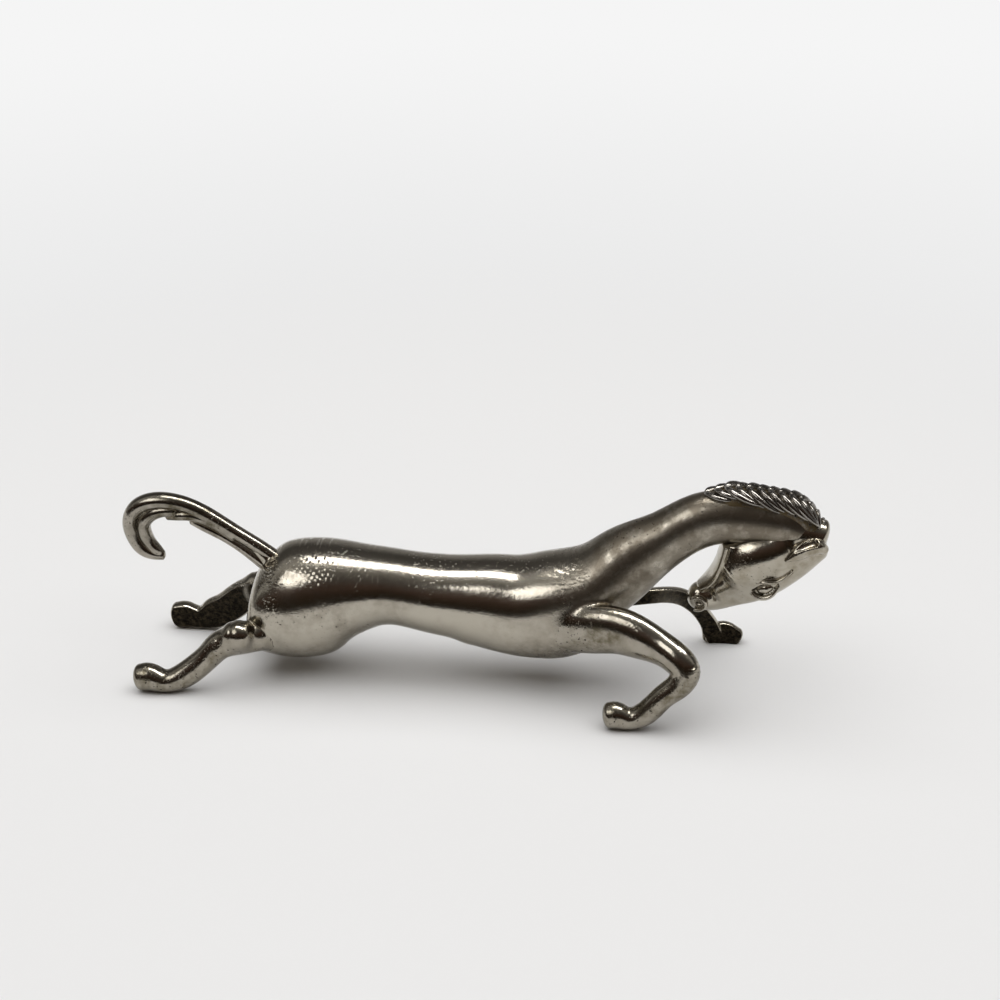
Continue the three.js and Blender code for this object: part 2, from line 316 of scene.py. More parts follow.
@dataclass
class Sculpture:
    """Castings that flow into each other, standing on the ground."""

    members: Sequence[Member]
    sole_edge: float = 0.15

    def distance(self, points: np.ndarray) -> np.ndarray:
        """The distance to the whole, cut off level at the ground.

        Args:
            points: places to read, one to a row.

        Returns:
            One distance for each point.
        """
        result = self.members[0].distance(points)
        for member in self.members[1:]:
            result = soft_min(result, member.distance(points), member.fillet.radius(points))
        return soft_max(result, -points[:, 2], self.sole_edge)

    def owner(self, points: np.ndarray) -> np.ndarray:
        """The index of the member that each point belongs to."""
        return np.argmin([m.distance(points) for m in self.members], axis=0)

    def slopes(self, points: np.ndarray) -> np.ndarray:
        """How fast the distance grows along X, Y and Z at each point.

        Args:
            points: places to read, one to a row.

        Returns:
            One row for each point.
        """
        rows = []
        for axis in np.eye(3) * SLOPE_STEP:
            rows.append((self.distance(points + axis) - self.distance(points - axis)) / (2 * SLOPE_STEP))
        return np.stack(rows, 1)

    def normals(self, points: np.ndarray) -> np.ndarray:
        """The outward direction at each point."""
        slope = self.slopes(points)
        return slope / np.maximum(np.linalg.norm(slope, axis=1, keepdims=True), 1e-9)

    def settle(self, points: np.ndarray) -> np.ndarray:
        """Points moved on to the surface along its slope.

        Args:
            points: places near the surface, one to a row.

        Returns:
            The same number of places, on the surface.
        """
        for _ in range(SETTLE_ROUNDS):
            value = self.distance(points)
            slope = self.slopes(points)
            steep = np.maximum((slope**2).sum(1), 0.2)
            points = points - slope * (np.clip(value, -0.3, 0.3) / steep)[:, None]
        return points

    def hollows(self, points: np.ndarray, normals: np.ndarray, reach: float) -> np.ndarray:
        """How deep each point lies in a groove or a corner, from 0 in the open to about 1.

        Args:
            points: points on the surface.
            normals: the outward direction at each.
            reach: how far around a point to look, in millimetres.

        Returns:
            One number for each point.
        """
        helper = np.where(np.abs(normals[:, 1:2]) < 0.9, [[0.0, 1.0, 0.0]], [[1.0, 0.0, 0.0]])
        first = np.cross(normals, helper)
        first /= np.linalg.norm(first, axis=1, keepdims=True)
        second = np.cross(normals, first)
        total = np.zeros(len(points))
        for k in range(RING_TURNS):
            angle = 2 * math.pi * k / RING_TURNS
            around = first * math.cos(angle) + second * math.sin(angle)
            total += self.distance(points + around * reach)
        return np.clip(-total / RING_TURNS / reach * 2.5, 0, 1)


@dataclass
class Skin:
    """A closed skin of quads: its corners, faces and outward directions."""

    corners: np.ndarray
    faces: np.ndarray
    normals: np.ndarray
    hollow: np.ndarray
    owner: np.ndarray


def sample_grid(shape: Sculpture, low: np.ndarray, high: np.ndarray, cell: float) -> np.ndarray:
    """Reads a shape's distance on a grid, only near its surface.

    Args:
        shape: what to read.
        low: lowest corner of the grid.
        high: highest corner of the grid.
        cell: spacing.

    Returns:
        The values.
    """
    block = 8
    blocks = np.ceil((high - low) / (cell * block)).astype(int)
    size = blocks * block + 1
    values = np.empty(size, np.float32)
    grid = np.stack(np.meshgrid(*[np.arange(n) for n in blocks], indexing="ij"), -1).reshape(-1, 3)
    middles = low + (grid + 0.5) * block * cell
    rough = shape.distance(middles)
    wanted = np.zeros(size, bool)
    span = block * cell
    for place, value in zip(grid, rough):
        a = place * block
        window = tuple(slice(s, s + block + 1) for s in a)
        if abs(value) < span * 1.5:
            wanted[window] = True
        else:
            values[window] = value
    chosen = np.argwhere(wanted)
    for start in range(0, len(chosen), CELLS_AT_ONCE):
        part = chosen[start : start + CELLS_AT_ONCE]
        values[tuple(part.T)] = shape.distance(low + part * cell)
    return values


def polygonise(values: np.ndarray, low: np.ndarray, cell: float) -> tuple[np.ndarray, np.ndarray]:
    """Turns a grid of distances into quads, one corner to each cell that the surface crosses.

    Args:
        values: the distances.
        low: the grid's first corner.
        cell: spacing.

    Returns:
        The corners and the quads, facing outwards.
    """
    inside = values < 0
    counts = np.zeros(np.array(values.shape) - 1, np.int8)
    shifts = [(i, j, k) for i in (0, 1) for j in (0, 1) for k in (0, 1)]
    size = counts.shape
    for i, j, k in shifts:
        counts += inside[i : i + size[0], j : j + size[1], k : k + size[2]]
    cells = np.argwhere((counts > 0) & (counts < 8))
    number = np.full(size, -1, np.int64)
    number[tuple(cells.T)] = np.arange(len(cells))
    total = np.zeros((len(cells), 3))
    crossings = np.zeros(len(cells))
    for start in shifts:
        for axis in range(3):
            if start[axis]:
                continue
            end = tuple(s + (a == axis) for a, s in enumerate(start))
            v0 = values[tuple((cells + start).T)]
            v1 = values[tuple((cells + end).T)]
            hit = (v0 < 0) != (v1 < 0)
            share = np.where(hit, v0 / np.where(hit, v0 - v1, 1), 0)
            spot = np.array(start, float) + np.eye(3)[axis] * share[:, None]
            total += np.where(hit[:, None], spot, 0)
            crossings += hit
    corners = low + (cells + total / crossings[:, None]) * cell
    faces = []
    for axis in range(3):
        b, c = [(1, 2), (2, 0), (0, 1)][axis]
        near = np.moveaxis(inside, axis, 0)[:-1]
        far = np.moveaxis(inside, axis, 0)[1:]
        edges = np.argwhere(np.moveaxis(near != far, 0, axis))
        edges = edges[(edges[:, b] > 0) & (edges[:, c] > 0)]
        unit_b = np.eye(3, dtype=int)[b]
        unit_c = np.eye(3, dtype=int)[c]
        ring = [edges - unit_b - unit_c, edges - unit_c, edges, edges - unit_b]
        quad = np.stack([number[tuple(r.T)] for r in ring], 1)
        leaving = inside[tuple(edges.T)]
        faces.append(np.where(leaving[:, None], quad, quad[:, ::-1]))
    return corners, np.concatenate(faces)


def skin_of(shape: Sculpture, grain: Grain, low: Point, high: Point, reach: float) -> Skin:
    """The finished skin of a sculpted shape.

    Args:
        shape: what to model.
        grain: how fine the skin is.
        low: lowest corner of the space it fills.
        high: highest corner.
        reach: how far around a point its hollow is judged.

    Returns:
        The skin.
    """
    cell = grain.cell()
    start = np.array(low, float)
    values = sample_grid(shape, start, np.array(high, float), cell)
    corners, faces = polygonise(values, start, cell)
    corners = shape.settle(corners)
    normals = shape.normals(corners)
    hollow = shape.hollows(corners, normals, reach)
    return Skin(corners, faces, normals, hollow, shape.owner(corners))


# ------------------------------------------------------------------ meshes


def mesh_object(name: str, skin: Skin, member: int | None = None) -> bpy.types.Object:
    """A Blender object from a skin, or from the part of it that one member owns.

    Args:
        name: the piece's name.
        skin: the skin in millimetres.
        member: whose part to take, or None for all of it.

    Returns:
        The new object, closed where it was parted from its neighbours.
    """
    faces = skin.faces
    if member is not None:
        votes = (skin.owner[faces] == member).sum(1)
        faces = faces[votes >= 3]
    used, flat = np.unique(faces, return_inverse=True)
    faces = flat.reshape(-1, 4)
    corners = skin.corners[used]
    lids, centres = lids_of(corners, faces)
    normals = np.concatenate([skin.normals[used], np.zeros((len(centres), 3))])
    normals[len(used) :, 2] = 1
    hollow = np.concatenate([skin.hollow[used], np.ones(len(centres))])
    corners = np.concatenate([corners, centres]) if len(centres) else corners
    mesh = bpy.data.meshes.new(name)
    mesh.from_pydata((corners * MM).tolist(), [], faces.tolist() + lids)
    mesh.polygons.foreach_set("use_smooth", [True] * len(mesh.polygons))
    mesh.normals_split_custom_set_from_vertices(normals.tolist())
    store(mesh, "hollow", hollow)
    made = bpy.data.objects.new(name, mesh)
    bpy.context.scene.collection.objects.link(made)
    return made


def lids_of(corners: np.ndarray, faces: np.ndarray) -> tuple[list[tuple[int, ...]], np.ndarray]:
    """Fans of triangles that close each open rim of a skin from its middle.

    Args:
        corners: the skin's corners.
        faces: its quads, by the index of their corners.

    Returns:
        The triangles, and the new corner in the middle of each rim.
    """
    edges = np.concatenate([faces[:, [i, (i + 1) % 4]] for i in range(4)])
    twins = set(map(tuple, edges))
    following: dict[int, list[int]] = {}
    for a, b in edges:
        if (b, a) not in twins:
            following.setdefault(int(b), []).append(int(a))
    lids = []
    centres = []
    while following:
        start = next(iter(following))
        rim = [start]
        while rim[-1] in following:
            ways = following[rim[-1]]
            rim.append(ways.pop())
            if not ways:
                del following[rim[-2]]
        middle = len(corners) + len(centres)
        centres.append(corners[rim].mean(0))
        lids.extend((a, b, middle) for a, b in zip(rim, rim[1:]))
    return lids, np.array(centres).reshape(-1, 3)


def store(mesh: bpy.types.Mesh, name: str, values: np.ndarray) -> None:
    """Keeps one number for each corner of a mesh under a name."""
    layer = mesh.attributes.new(name, "FLOAT", "POINT")
    layer.data.foreach_set("value", values.astype(np.float32))


def deliver(piece: bpy.types.Object, finish: "Plate", node: str) -> None:
    """Dresses a finished piece and puts it in the place of its CAD node.

    Args:
        piece: the finished mesh.
        finish: its metal.
        node: the CAD node that it stands for.
    """
    piece.data.materials.clear()
    piece.data.materials.append(finish.material())
    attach(piece, "root")
    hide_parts(node)
    LOG.info("%s: %d faces", piece.name, len(piece.data.polygons))


# ------------------------------------------------------------------ finishes


def linear(code: str) -> tuple[float, float, float, float]:
    """A shader colour from an sRGB hex code.

    Args:
        code: a hash and six hex digits.

    Returns:
        Red, green, blue and alpha, linear.
    """
    parts = [int(code[i : i + 2], 16) / 255 for i in (1, 3, 5)]
    curve = [c / 12.92 if c <= 0.04045 else ((c + 0.055) / 1.055) ** 2.4 for c in parts]
    return (*curve, 1.0)


def add_node(tree: bpy.types.NodeTree, kind: str, **settings: object) -> bpy.types.Node:
    """Adds a node with its settings and links.

    Args:
        tree: where to add it.
        kind: its Blender type.
        settings: attributes, or inputs by name with spaces as underscores, or by number as i0, i1.
            A socket is linked, and a node is linked by the first of its outputs in use.

    Returns:
        The new node.
    """
    node = tree.nodes.new(kind)
    for key, value in settings.items():
        if hasattr(node, key):
            setattr(node, key, value)
            continue
        socket = node.inputs[int(key[1:])] if key[1:].isdigit() else node.inputs[key.replace("_", " ")]
        if isinstance(value, bpy.types.Node):
            value = next(output for output in value.outputs if output.enabled)
        if isinstance(value, bpy.types.NodeSocket):
            tree.links.new(value, socket)
        else:
            socket.default_value = value
    return node


def new_material(name: str) -> bpy.types.Material:
    """A material with nothing in its node tree.

    Args:
        name: the material's name.

    Returns:
        The material.
    """
    made = bpy.data.materials.new(name)
    made.use_nodes = True
    made.node_tree.nodes.clear()
    return made


@dataclass(frozen=True)
class Pattern:
    """Noise with features about `size` millimetres across, that fades in from 0 to `top`.

    It is 0 where the noise is below `low`, and `top` where it is above `high`.
    """

    size: float
    detail: float
    rough: float
    low: float = 0.0
    high: float = 1.0
    top: float = 1.0


@dataclass(frozen=True)
class Plate:
    """Silver plate on a polished casting: what it is, and how worn it is.

    Real silver plate is nearly white, and warm where the sulphide film has begun. Pits in the
    casting hold dark oxide, and polish paste dries to a yellow brown in the corners. The paste and
    dark oxide colours that are laid on by how deep a point sits in a hollow are partly those and
    partly painted shade in corners and creases. Sizes are in millimetres. The pits are drawn
    coarser than the finest real ones, which wouldn't show.
    """

    name: str
    silver: str = "#B4AEA1"
    film: str = "#8A816E"
    # dark oxide in the pits, and painted shade in the deepest hollows
    oxide_and_shade: str = "#241F1B"
    # yellow-brown dried paste, and painted shade in corners
    residue_and_shade: str = "#5E4F30"
    film_amount: float = 0.5
    roughness: float = 0.14
    pits: float = 0.5
    pit_size: float = 0.42
    wave: float = 0.018
    residue_and_shade_amount: float = 1.0
    rough_inner: int = 0
    tarnish_from: float = 0.0
    tarnish_to: float = 0.0

    def patterns(self) -> dict[str, Pattern]:
        """The noise patterns of the film, the pits, the paste and the polish.

        Returns:
            The patterns by name.
        """
        return {
            "clouds": Pattern(11, 4, 0.6, 0.38, 0.68),
            "wiped": Pattern(1.6, 5, 0.65, 0.25, 0.75),
            "mottle": Pattern(2.2, 4, 0.6, 0.2, 0.6, 0.8),
            "patches": Pattern(9, 3, 0.5, 0.45, 0.66),
            "grains": Pattern(self.pit_size, 2, 0.55, 0.63, 0.72),
            "specks": Pattern(self.pit_size * 0.6, 3, 0.7, 0.68, 0.76),
            "crumbs": Pattern(0.7, 4, 0.6, 0.2, 0.7),
            "ripple": Pattern(2.8, 3, 0.45),
            "sand": Pattern(0.5, 3, 0.6),
            "lumps": Pattern(0.55, 4, 0.7, 0.35, 0.75),
        }

    def layers(self, tree: bpy.types.NodeTree) -> dict[str, bpy.types.Node | float]:
        """The layers on the silver, each a number from 0 to 1 over the surface.

        Args:
            tree: the material's node tree.

        Returns:
            The layers by name, with the plain noise of each pattern under "raw" and its name.
        """
        place = add_node(tree, "ShaderNodeTexCoord").outputs["Object"]
        hollow = add_node(tree, "ShaderNodeAttribute", attribute_name="hollow").outputs["Fac"]
        along = add_node(tree, "ShaderNodeSeparateXYZ", Vector=place).outputs["X"]
        layer: dict[str, bpy.types.Node | float] = {"tarnish": 0.0}
        # painted shade: hollow depth lays the paste colour and a dark oxide colour into corners and creases,
        # partly real, partly painted shade
        fades = {"corner": (hollow, 0.12, 0.6, 1.0), "soot_and_shade": (hollow, 0.35, 0.95, 1.0)}
        if self.tarnish_to > self.tarnish_from:
            fades["tarnish"] = (along, self.tarnish_from * MM, self.tarnish_to * MM, 1.0)
        for name, pattern in self.patterns().items():
            noise = add_node(
                tree, "ShaderNodeTexNoise", Vector=place, Scale=1 / (pattern.size * MM),
                Detail=pattern.detail, Roughness=pattern.rough,
            )
            layer[f"raw {name}"] = noise
            fades[name] = (noise, pattern.low, pattern.high, pattern.top)
        for name, (value, low, high, top) in fades.items():
            layer[name] = add_node(
                tree, FADE, interpolation_type="SMOOTHSTEP", i0=value, i1=low, i2=high, i4=top
            )
        steps = [
            # the sulphide film lies in soft clouds, broken up by wiping, and thicker at one end
            ("film", "MULTIPLY", "clouds", "wiped"), ("film", "MULTIPLY", "film", self.film_amount * 1.6),
            ("mottle", "MULTIPLY", "tarnish", "mottle"), ("film", "ADD", "film", "mottle"),
            # casting pits: small sharp dark holes, thick in patches
            ("pits", "MULTIPLY", "patches", self.pits * 1.6), ("pits", "MULTIPLY", "grains", "pits"),
            ("specks", "MULTIPLY", "specks", self.pits * 0.45), ("pits", "ADD", "pits", "specks"),
            # dried paste and oxide fill the corners, and these coats, laid on by hollow depth, are also
            # painted shade there
            ("paste_and_shade", "MULTIPLY", "crumbs", self.residue_and_shade_amount), ("paste_and_shade", "MULTIPLY", "corner", "paste_and_shade"),
            ("soot_and_shade", "MULTIPLY", "soot_and_shade", min(1.0, self.residue_and_shade_amount)),
        ]
        for name, operation, first, second in steps:
            other = layer[second] if isinstance(second, str) else second
            layer[name] = add_node(
                tree, MATH, operation=operation, use_clamp=True, i0=layer[first], i1=other
            )
        return layer

    def material(self) -> bpy.types.Material:
        """The finish as a material, made once.

        Returns:
            The material.
        """
        if self.name in bpy.data.materials:
            return bpy.data.materials[self.name]
        made = new_material(self.name)
        tree = made.node_tree
        layer = self.layers(tree)
        film, pits, paste_and_shade = layer["film"], layer["pits"], layer["paste_and_shade"]
        colour = linear(self.silver)
        # the coats laid on by hollow depth are partly real paste and oxide, partly painted shade
        coats = ((film, self.film), (paste_and_shade, self.residue_and_shade), (layer["soot_and_shade"], self.oxide_and_shade), (pits, self.oxide_and_shade))
        for share, code in coats:
            colour = add_node(tree, "ShaderNodeMix", data_type="RGBA", i0=share, i6=colour, i7=linear(code))
        roughness = self.roughness - 0.03
        dulled = [(film, 0.12), (pits, 0.4), (paste_and_shade, 0.35)]
        dulled += [(layer["raw wiped"], 0.06), (layer["tarnish"], 0.1)]
        for value, share in dulled:
            roughness = add_node(
                tree, MATH, operation="MULTIPLY_ADD", use_clamp=True, i0=value, i1=share, i2=roughness
            )
        metal = add_node(tree, MATH, operation="MULTIPLY_ADD", i0=paste_and_shade, i1=-0.5, i2=1.0)
        # the polish leaves a faint wave and a sandy grain, and the pits are sunk
        relief = [
            (layer["raw ripple"], self.wave, 1.0, False), (layer["raw sand"], 0.02, 1.0, False),
            (pits, 0.05, 0.7, True),
        ]
        under: dict[str, object] = {}
        for height, deep, strength, sunk in relief:
            under.update(invert=sunk, Strength=strength, Distance=deep * MM, Height=height)
            bump = add_node(tree, "ShaderNodeBump", **under)
            under["Normal"] = bump
        if self.rough_inner:
            colour, roughness, bump = self.as_cast(tree, layer, colour, roughness, bump)
        shader = add_node(
            tree, "ShaderNodeBsdfPrincipled",
            Base_Color=colour, Roughness=roughness, Metallic=metal, Normal=bump,
        )
        add_node(tree, "ShaderNodeOutputMaterial", Surface=shader)
        return made

    def as_cast(
        self,
        tree: bpy.types.NodeTree,
        layer: dict[str, bpy.types.Node | float],
        colour: bpy.types.Node,
        roughness: bpy.types.Node,
        bump: bpy.types.Node,
    ) -> tuple[bpy.types.Node, bpy.types.Node, bpy.types.Node]:
        """Darkens and roughens the flat inner face of a leg, which is left as it was cast.

        Args:
            tree: the material's node tree.
            layer: the layers on the silver.
            colour: the colour of the polished face.
            roughness: its roughness.
            bump: its relief.

        Returns:
            The colour, roughness and relief of both faces.
        """
        facing = add_node(tree, "ShaderNodeNewGeometry").outputs["Normal"]
        across = add_node(tree, "ShaderNodeSeparateXYZ", Vector=facing).outputs["Y"]
        inward = add_node(
            tree, MATH, operation="MULTIPLY", use_clamp=True, i0=across, i1=float(self.rough_inner)
        )
        raw = add_node(tree, FADE, interpolation_type="SMOOTHSTEP", i0=inward, i1=0.72, i2=0.93)
        shades = {"i6": linear("#14110E"), "i7": linear("#4A4234")}
        scale = add_node(tree, "ShaderNodeMix", data_type="RGBA", i0=layer["lumps"], **shades)
        colour = add_node(tree, "ShaderNodeMix", data_type="RGBA", i0=raw, i6=colour, i7=scale)
        dull = add_node(tree, MATH, operation="MULTIPLY", use_clamp=True, i0=raw, i1=0.55)
        roughness = add_node(tree, MATH, operation="MAXIMUM", use_clamp=True, i0=roughness, i1=dull)
        lumps = add_node(
            tree, MATH, operation="MULTIPLY", use_clamp=True, i0=layer["raw lumps"], i1=raw
        )
        relief = add_node(
            tree, "ShaderNodeBump", Strength=1.0, Distance=0.16 * MM, Height=lumps, Normal=bump
        )
        return colour, roughness, relief


# ------------------------------------------------------------------ the castings


@dataclass
class Places:
    """Places that the CAD frame gives, in millimetres."""

    rump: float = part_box("body")[0].x / MM
    poll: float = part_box("body")[1].x / MM
    toe_hind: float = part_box("right_hind_leg")[0].x / MM
    curl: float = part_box("tail")[0].x / MM
    muzzle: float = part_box("head")[0].x / MM
    toe_fore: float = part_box("left_foreleg")[1].x / MM
    knee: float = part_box("right_foreleg")[1].x / MM


@dataclass
class Trunk:
    """The body with its neck, and the four legs that flow out of it."""

    places: Places
    hind_stance: float = 9.6
    fore_stance: float = 13.2
    shank_high: float = 1.7
    shank_lift: dict[Side, float] = field(default_factory=lambda: {Side.RIGHT: 0.2, Side.LEFT: 0.75})
    toe_shift: dict[Side, float] = field(default_factory=lambda: {Side.RIGHT: -0.35, Side.LEFT: 0.45})

    def body(self) -> Member:
        """Barrel, haunches, chest and neck on one spine from the rump to the poll.

        Returns:
            The body.
        """
        x = self.places.rump
        end = self.places.poll
        spine = Tube(
            stations=rows_at(x, [
                (2.2, 0, 9.6, 6.7, 6.6), (6.2, 0, 10.15, 8.05, 7.8), (9.8, 0, 11.35, 8.75, 7.8),
                (13.0, 0, 12.5, 7.85, 7.4), (16.4, 0, 13.2, 6.6, 6.7), (20.7, 0, 13.6, 5.5, 6.0),
                (26.7, 0, 12.9, 5.6, 6.0), (32.7, 0, 12.4, 6.2, 6.3), (36.5, 0, 12.3, 6.5, 6.6),
                (40.0, 0, 12.4, 6.4, 6.9), (44.0, 0, 13.1, 6.5, 7.1), (48.0, 0, 14.4, 6.15, 6.9),
                (51.8, 0, 16.65, 5.55, 6.0), (55.1, 0, 19.5, 5.2, 4.9), (60.2, 0, 23.2, 4.05, 3.8),
            ]) + rows_at(end, [
                (-12.8, 0, 26.45, 3.9, 3.4), (-6.8, 0, 26.9, 3.6, 3.2), (-1.5, 0, 26.0, 3.1, 2.95),
                (0.8, 0, 24.9, 2.5, 2.5),
            ]),
            caps=(3.0, 1.4),
            blunt=2.3,
        )
        chest = Tube(
            stations=rows_at(x, [
                (34.0, 0, 11.0, 5.4, 5.6), (38.5, 0, 10.6, 6.1, 6.6), (43.0, 0, 10.5, 6.4, 6.9),
                (46.5, 0, 11.1, 6.4, 6.6), (48.5, 0, 12.2, 6.0, 6.0),
            ]),
            caps=(4.0, 3.0),
            blunt=2.3,
        )
        return Rump("body", [spine, chest], Fillet(1, 1), inside=2.0, at=(x + 1.9, 15.4), lean=0.2)

    def hind_leg(self, side: Side) -> Member:
        """A hind leg: hock, shank and hoof, with its heel flat on the ground.

        Args:
            side: which of the two.

        Returns:
            The leg.
        """
        s = side.value
        x = self.places.toe_hind + self.toe_shift[side]
        y = self.hind_stance
        lift = self.shank_lift[side]
        high = self.shank_high + lift
        leg = Tube(
            stations=rows_at(x, [
                (21.0, 4.6, 8.4, 2.2, 2.0), (17.6, 5.6, 7.6 + lift * 0.8, 2.3, 2.1),
                (14.6, 6.8, 7.2 + lift * 0.8, 2.2, 2.0), (12.3, 7.7, 6.8 + lift, 2.1, 1.95),
                (10.6, 8.2, 5.3 + lift, high, 1.8), (8.4, 8.8, 3.3 + lift, high, 1.75),
                (6.2, 9.3, 1.9 + lift, high - 0.1, 1.75), (3.9, y, 1.6 + lift * 0.3, 1.65, 1.8),
                (1.7, y, 2.15, 2.05, 1.95), (0.8, y, 2.05, 1.95, 1.9),
            ], s),
            caps=(1.0, 1.1),
            blunt=2.2,
            flat=0.55,
            inner=-s,
        )
        ball = self.places.toe_hind + 14.4
        hock = Tube(
            stations=rows_at(ball, [
                (-0.8, 7.8, 8.6, 1.9, 1.9), (0.0, 7.8, 8.65, 2.1, 2.1), (0.7, 7.7, 8.6, 1.95, 1.95),
            ], s),
            caps=(1.4, 1.3),
        )
        name = "right_hind_leg" if side is Side.RIGHT else "left_hind_leg"
        return Member(name, [leg, hock], Fillet(3.0, 0.35, 4.0, 7.2), inside=1.8)

    def folded_leg(self) -> Member:
        """The right foreleg: shoulder, knee bent well back, and a hoof that points to the rear.

        Returns:
            The leg.
        """
        x = self.places.knee
        y = -self.fore_stance
        leg = Tube(
            stations=rows_at(x, [
                (-20.4, -4.4, 10.9, 2.7, 2.1), (-16.2, -6.2, 11.5, 3.6, 2.4),
                (-12.0, -7.5, 12.3, 3.55, 2.4), (-8.4, -8.9, 12.0, 3.1, 2.2),
                (-5.2, -10.3, 11.2, 2.45, 2.0), (-3.2, -11.5, 10.4, 2.25, 2.0),
                (-2.0, -12.3, 9.0, 2.1, 1.95), (-2.6, -12.7, 7.3, 1.9, 1.8),
                (-4.6, -13.0, 5.5, self.shank_high, 1.7), (-6.2, y, 3.7, self.shank_high, 1.65),
                (-7.8, y, 2.2, 1.65, 1.65), (-9.7, y, 1.65, 1.6, 1.65), (-11.5, y, 2.05, 1.95, 1.85),
                (-12.1, y, 2.0, 1.85, 1.8),
            ]),
            caps=(1.0, 1.05),
            blunt=2.2,
            flat=0.6,
            inner=1,
        )
        return Member("right_foreleg", [leg], Fillet(3.2, 1.2, 9.0, 14.5))

    def stretched_leg(self) -> Member:
        """The left foreleg, which reaches forward and down to its hoof.

        Returns:
            The leg.
        """
        x = self.places.toe_fore
        y = self.fore_stance
        leg = Tube(
            stations=rows_at(x, [
                (-22.6, 4.5, 10.6, 2.0, 2.0), (-17.6, 6.0, 10.5, 1.5, 1.8), (-13.8, 7.2, 10.2, 1.2, 1.6),
                (-11.0, 8.6, 9.8, 1.2, 1.5), (-8.7, 9.9, 8.8, 1.3, 1.5), (-6.9, 11.0, 7.0, 1.25, 1.5),
                (-5.6, 12.0, 4.9, 1.2, 1.5), (-4.6, 12.7, 2.8, 1.35, 1.6), (-4.2, y, 1.0, 1.5, 1.7),
            ]),
            caps=(1.0, 1.0),
            blunt=2.2,
            flat=0.3,
            inner=-1,
        )
        hoof = Tube(
            stations=rows_at(x, [
                (-4.3, y - 0.2, 1.2, 1.4, 1.6), (-2.8, y, 1.5, 1.9, 1.8), (-1.2, y, 0.9, 1.75, 1.8),
            ]),
            caps=(1.0, 1.2),
            blunt=3.0,
            flat=0.3,
            inner=-1,
        )
        return Member("left_foreleg", [leg, hoof], Fillet(2.4, 0.9, 9.0, 13.0), inside=0.4)

    def tail_root(self) -> Member:
        """The swelling of the rump from which the tail grows.

        Returns:
            The swelling, which goes to the body when the castings are parted.
        """
        x = self.places.rump
        root = Tube(
            stations=rows_at(x, [
                (6.4, 0, 15.0, 1.7, 1.9), (4.2, 0, 16.8, 1.4, 1.5), (2.6, 0, 18.1, 1.0, 1.1),
                (1.2, 0, 19.1, 0.6, 0.7),
            ]),
            caps=(0.8, 0.4),
        )
        return Member("tail_root", [root], Fillet(0.9, 0.6, 15, 18))

    def build(self) -> None:
        """Models the five castings as one surface and parts them at the joints."""
        members = [
            self.body(),
            self.folded_leg(),
            self.stretched_leg(),
            self.hind_leg(Side.RIGHT),
            self.hind_leg(Side.LEFT),
        ]
        shape = Sculpture([*members, self.tail_root()])
        low = np.array(CAD_BOX[0]) / MM - CAD_MARGIN
        high = np.array(CAD_BOX[1]) / MM + CAD_MARGIN
        low[0] = self.places.toe_hind - CAD_MARGIN
        skin = skin_of(shape, Grain.BROAD, low, high, 0.5)
        skin.owner[skin.owner == len(members)] = 0
        near = Plate("near leg plate", silver="#A59F93", film="#6C6554", pits=0.9, film_amount=0.85)
        body = Plate("body plate", film="#7A7265", tarnish_from=4.0, tarnish_to=20.0)
        far_fore, far_hind = [
            Plate(f"far {part} plate", pits=0.8, film_amount=0.7, rough_inner=-1)
            for part in ("foreleg", "hind leg")
        ]
        finishes = {
            "body": (body, "plated_body"),
            "right_foreleg": (near, "plated_near_leg"),
            "left_foreleg": (far_fore, "plated_far_leg"),
            "right_hind_leg": (near, "plated_near_leg"),
            "left_hind_leg": (far_hind, "plated_far_leg"),
        }
        for index, member in enumerate(members):
            finish, slot = finishes[member.name]
            piece = mesh_object(f"{member.name}_casting", skin, index)
            deliver(piece, finish, member.name)


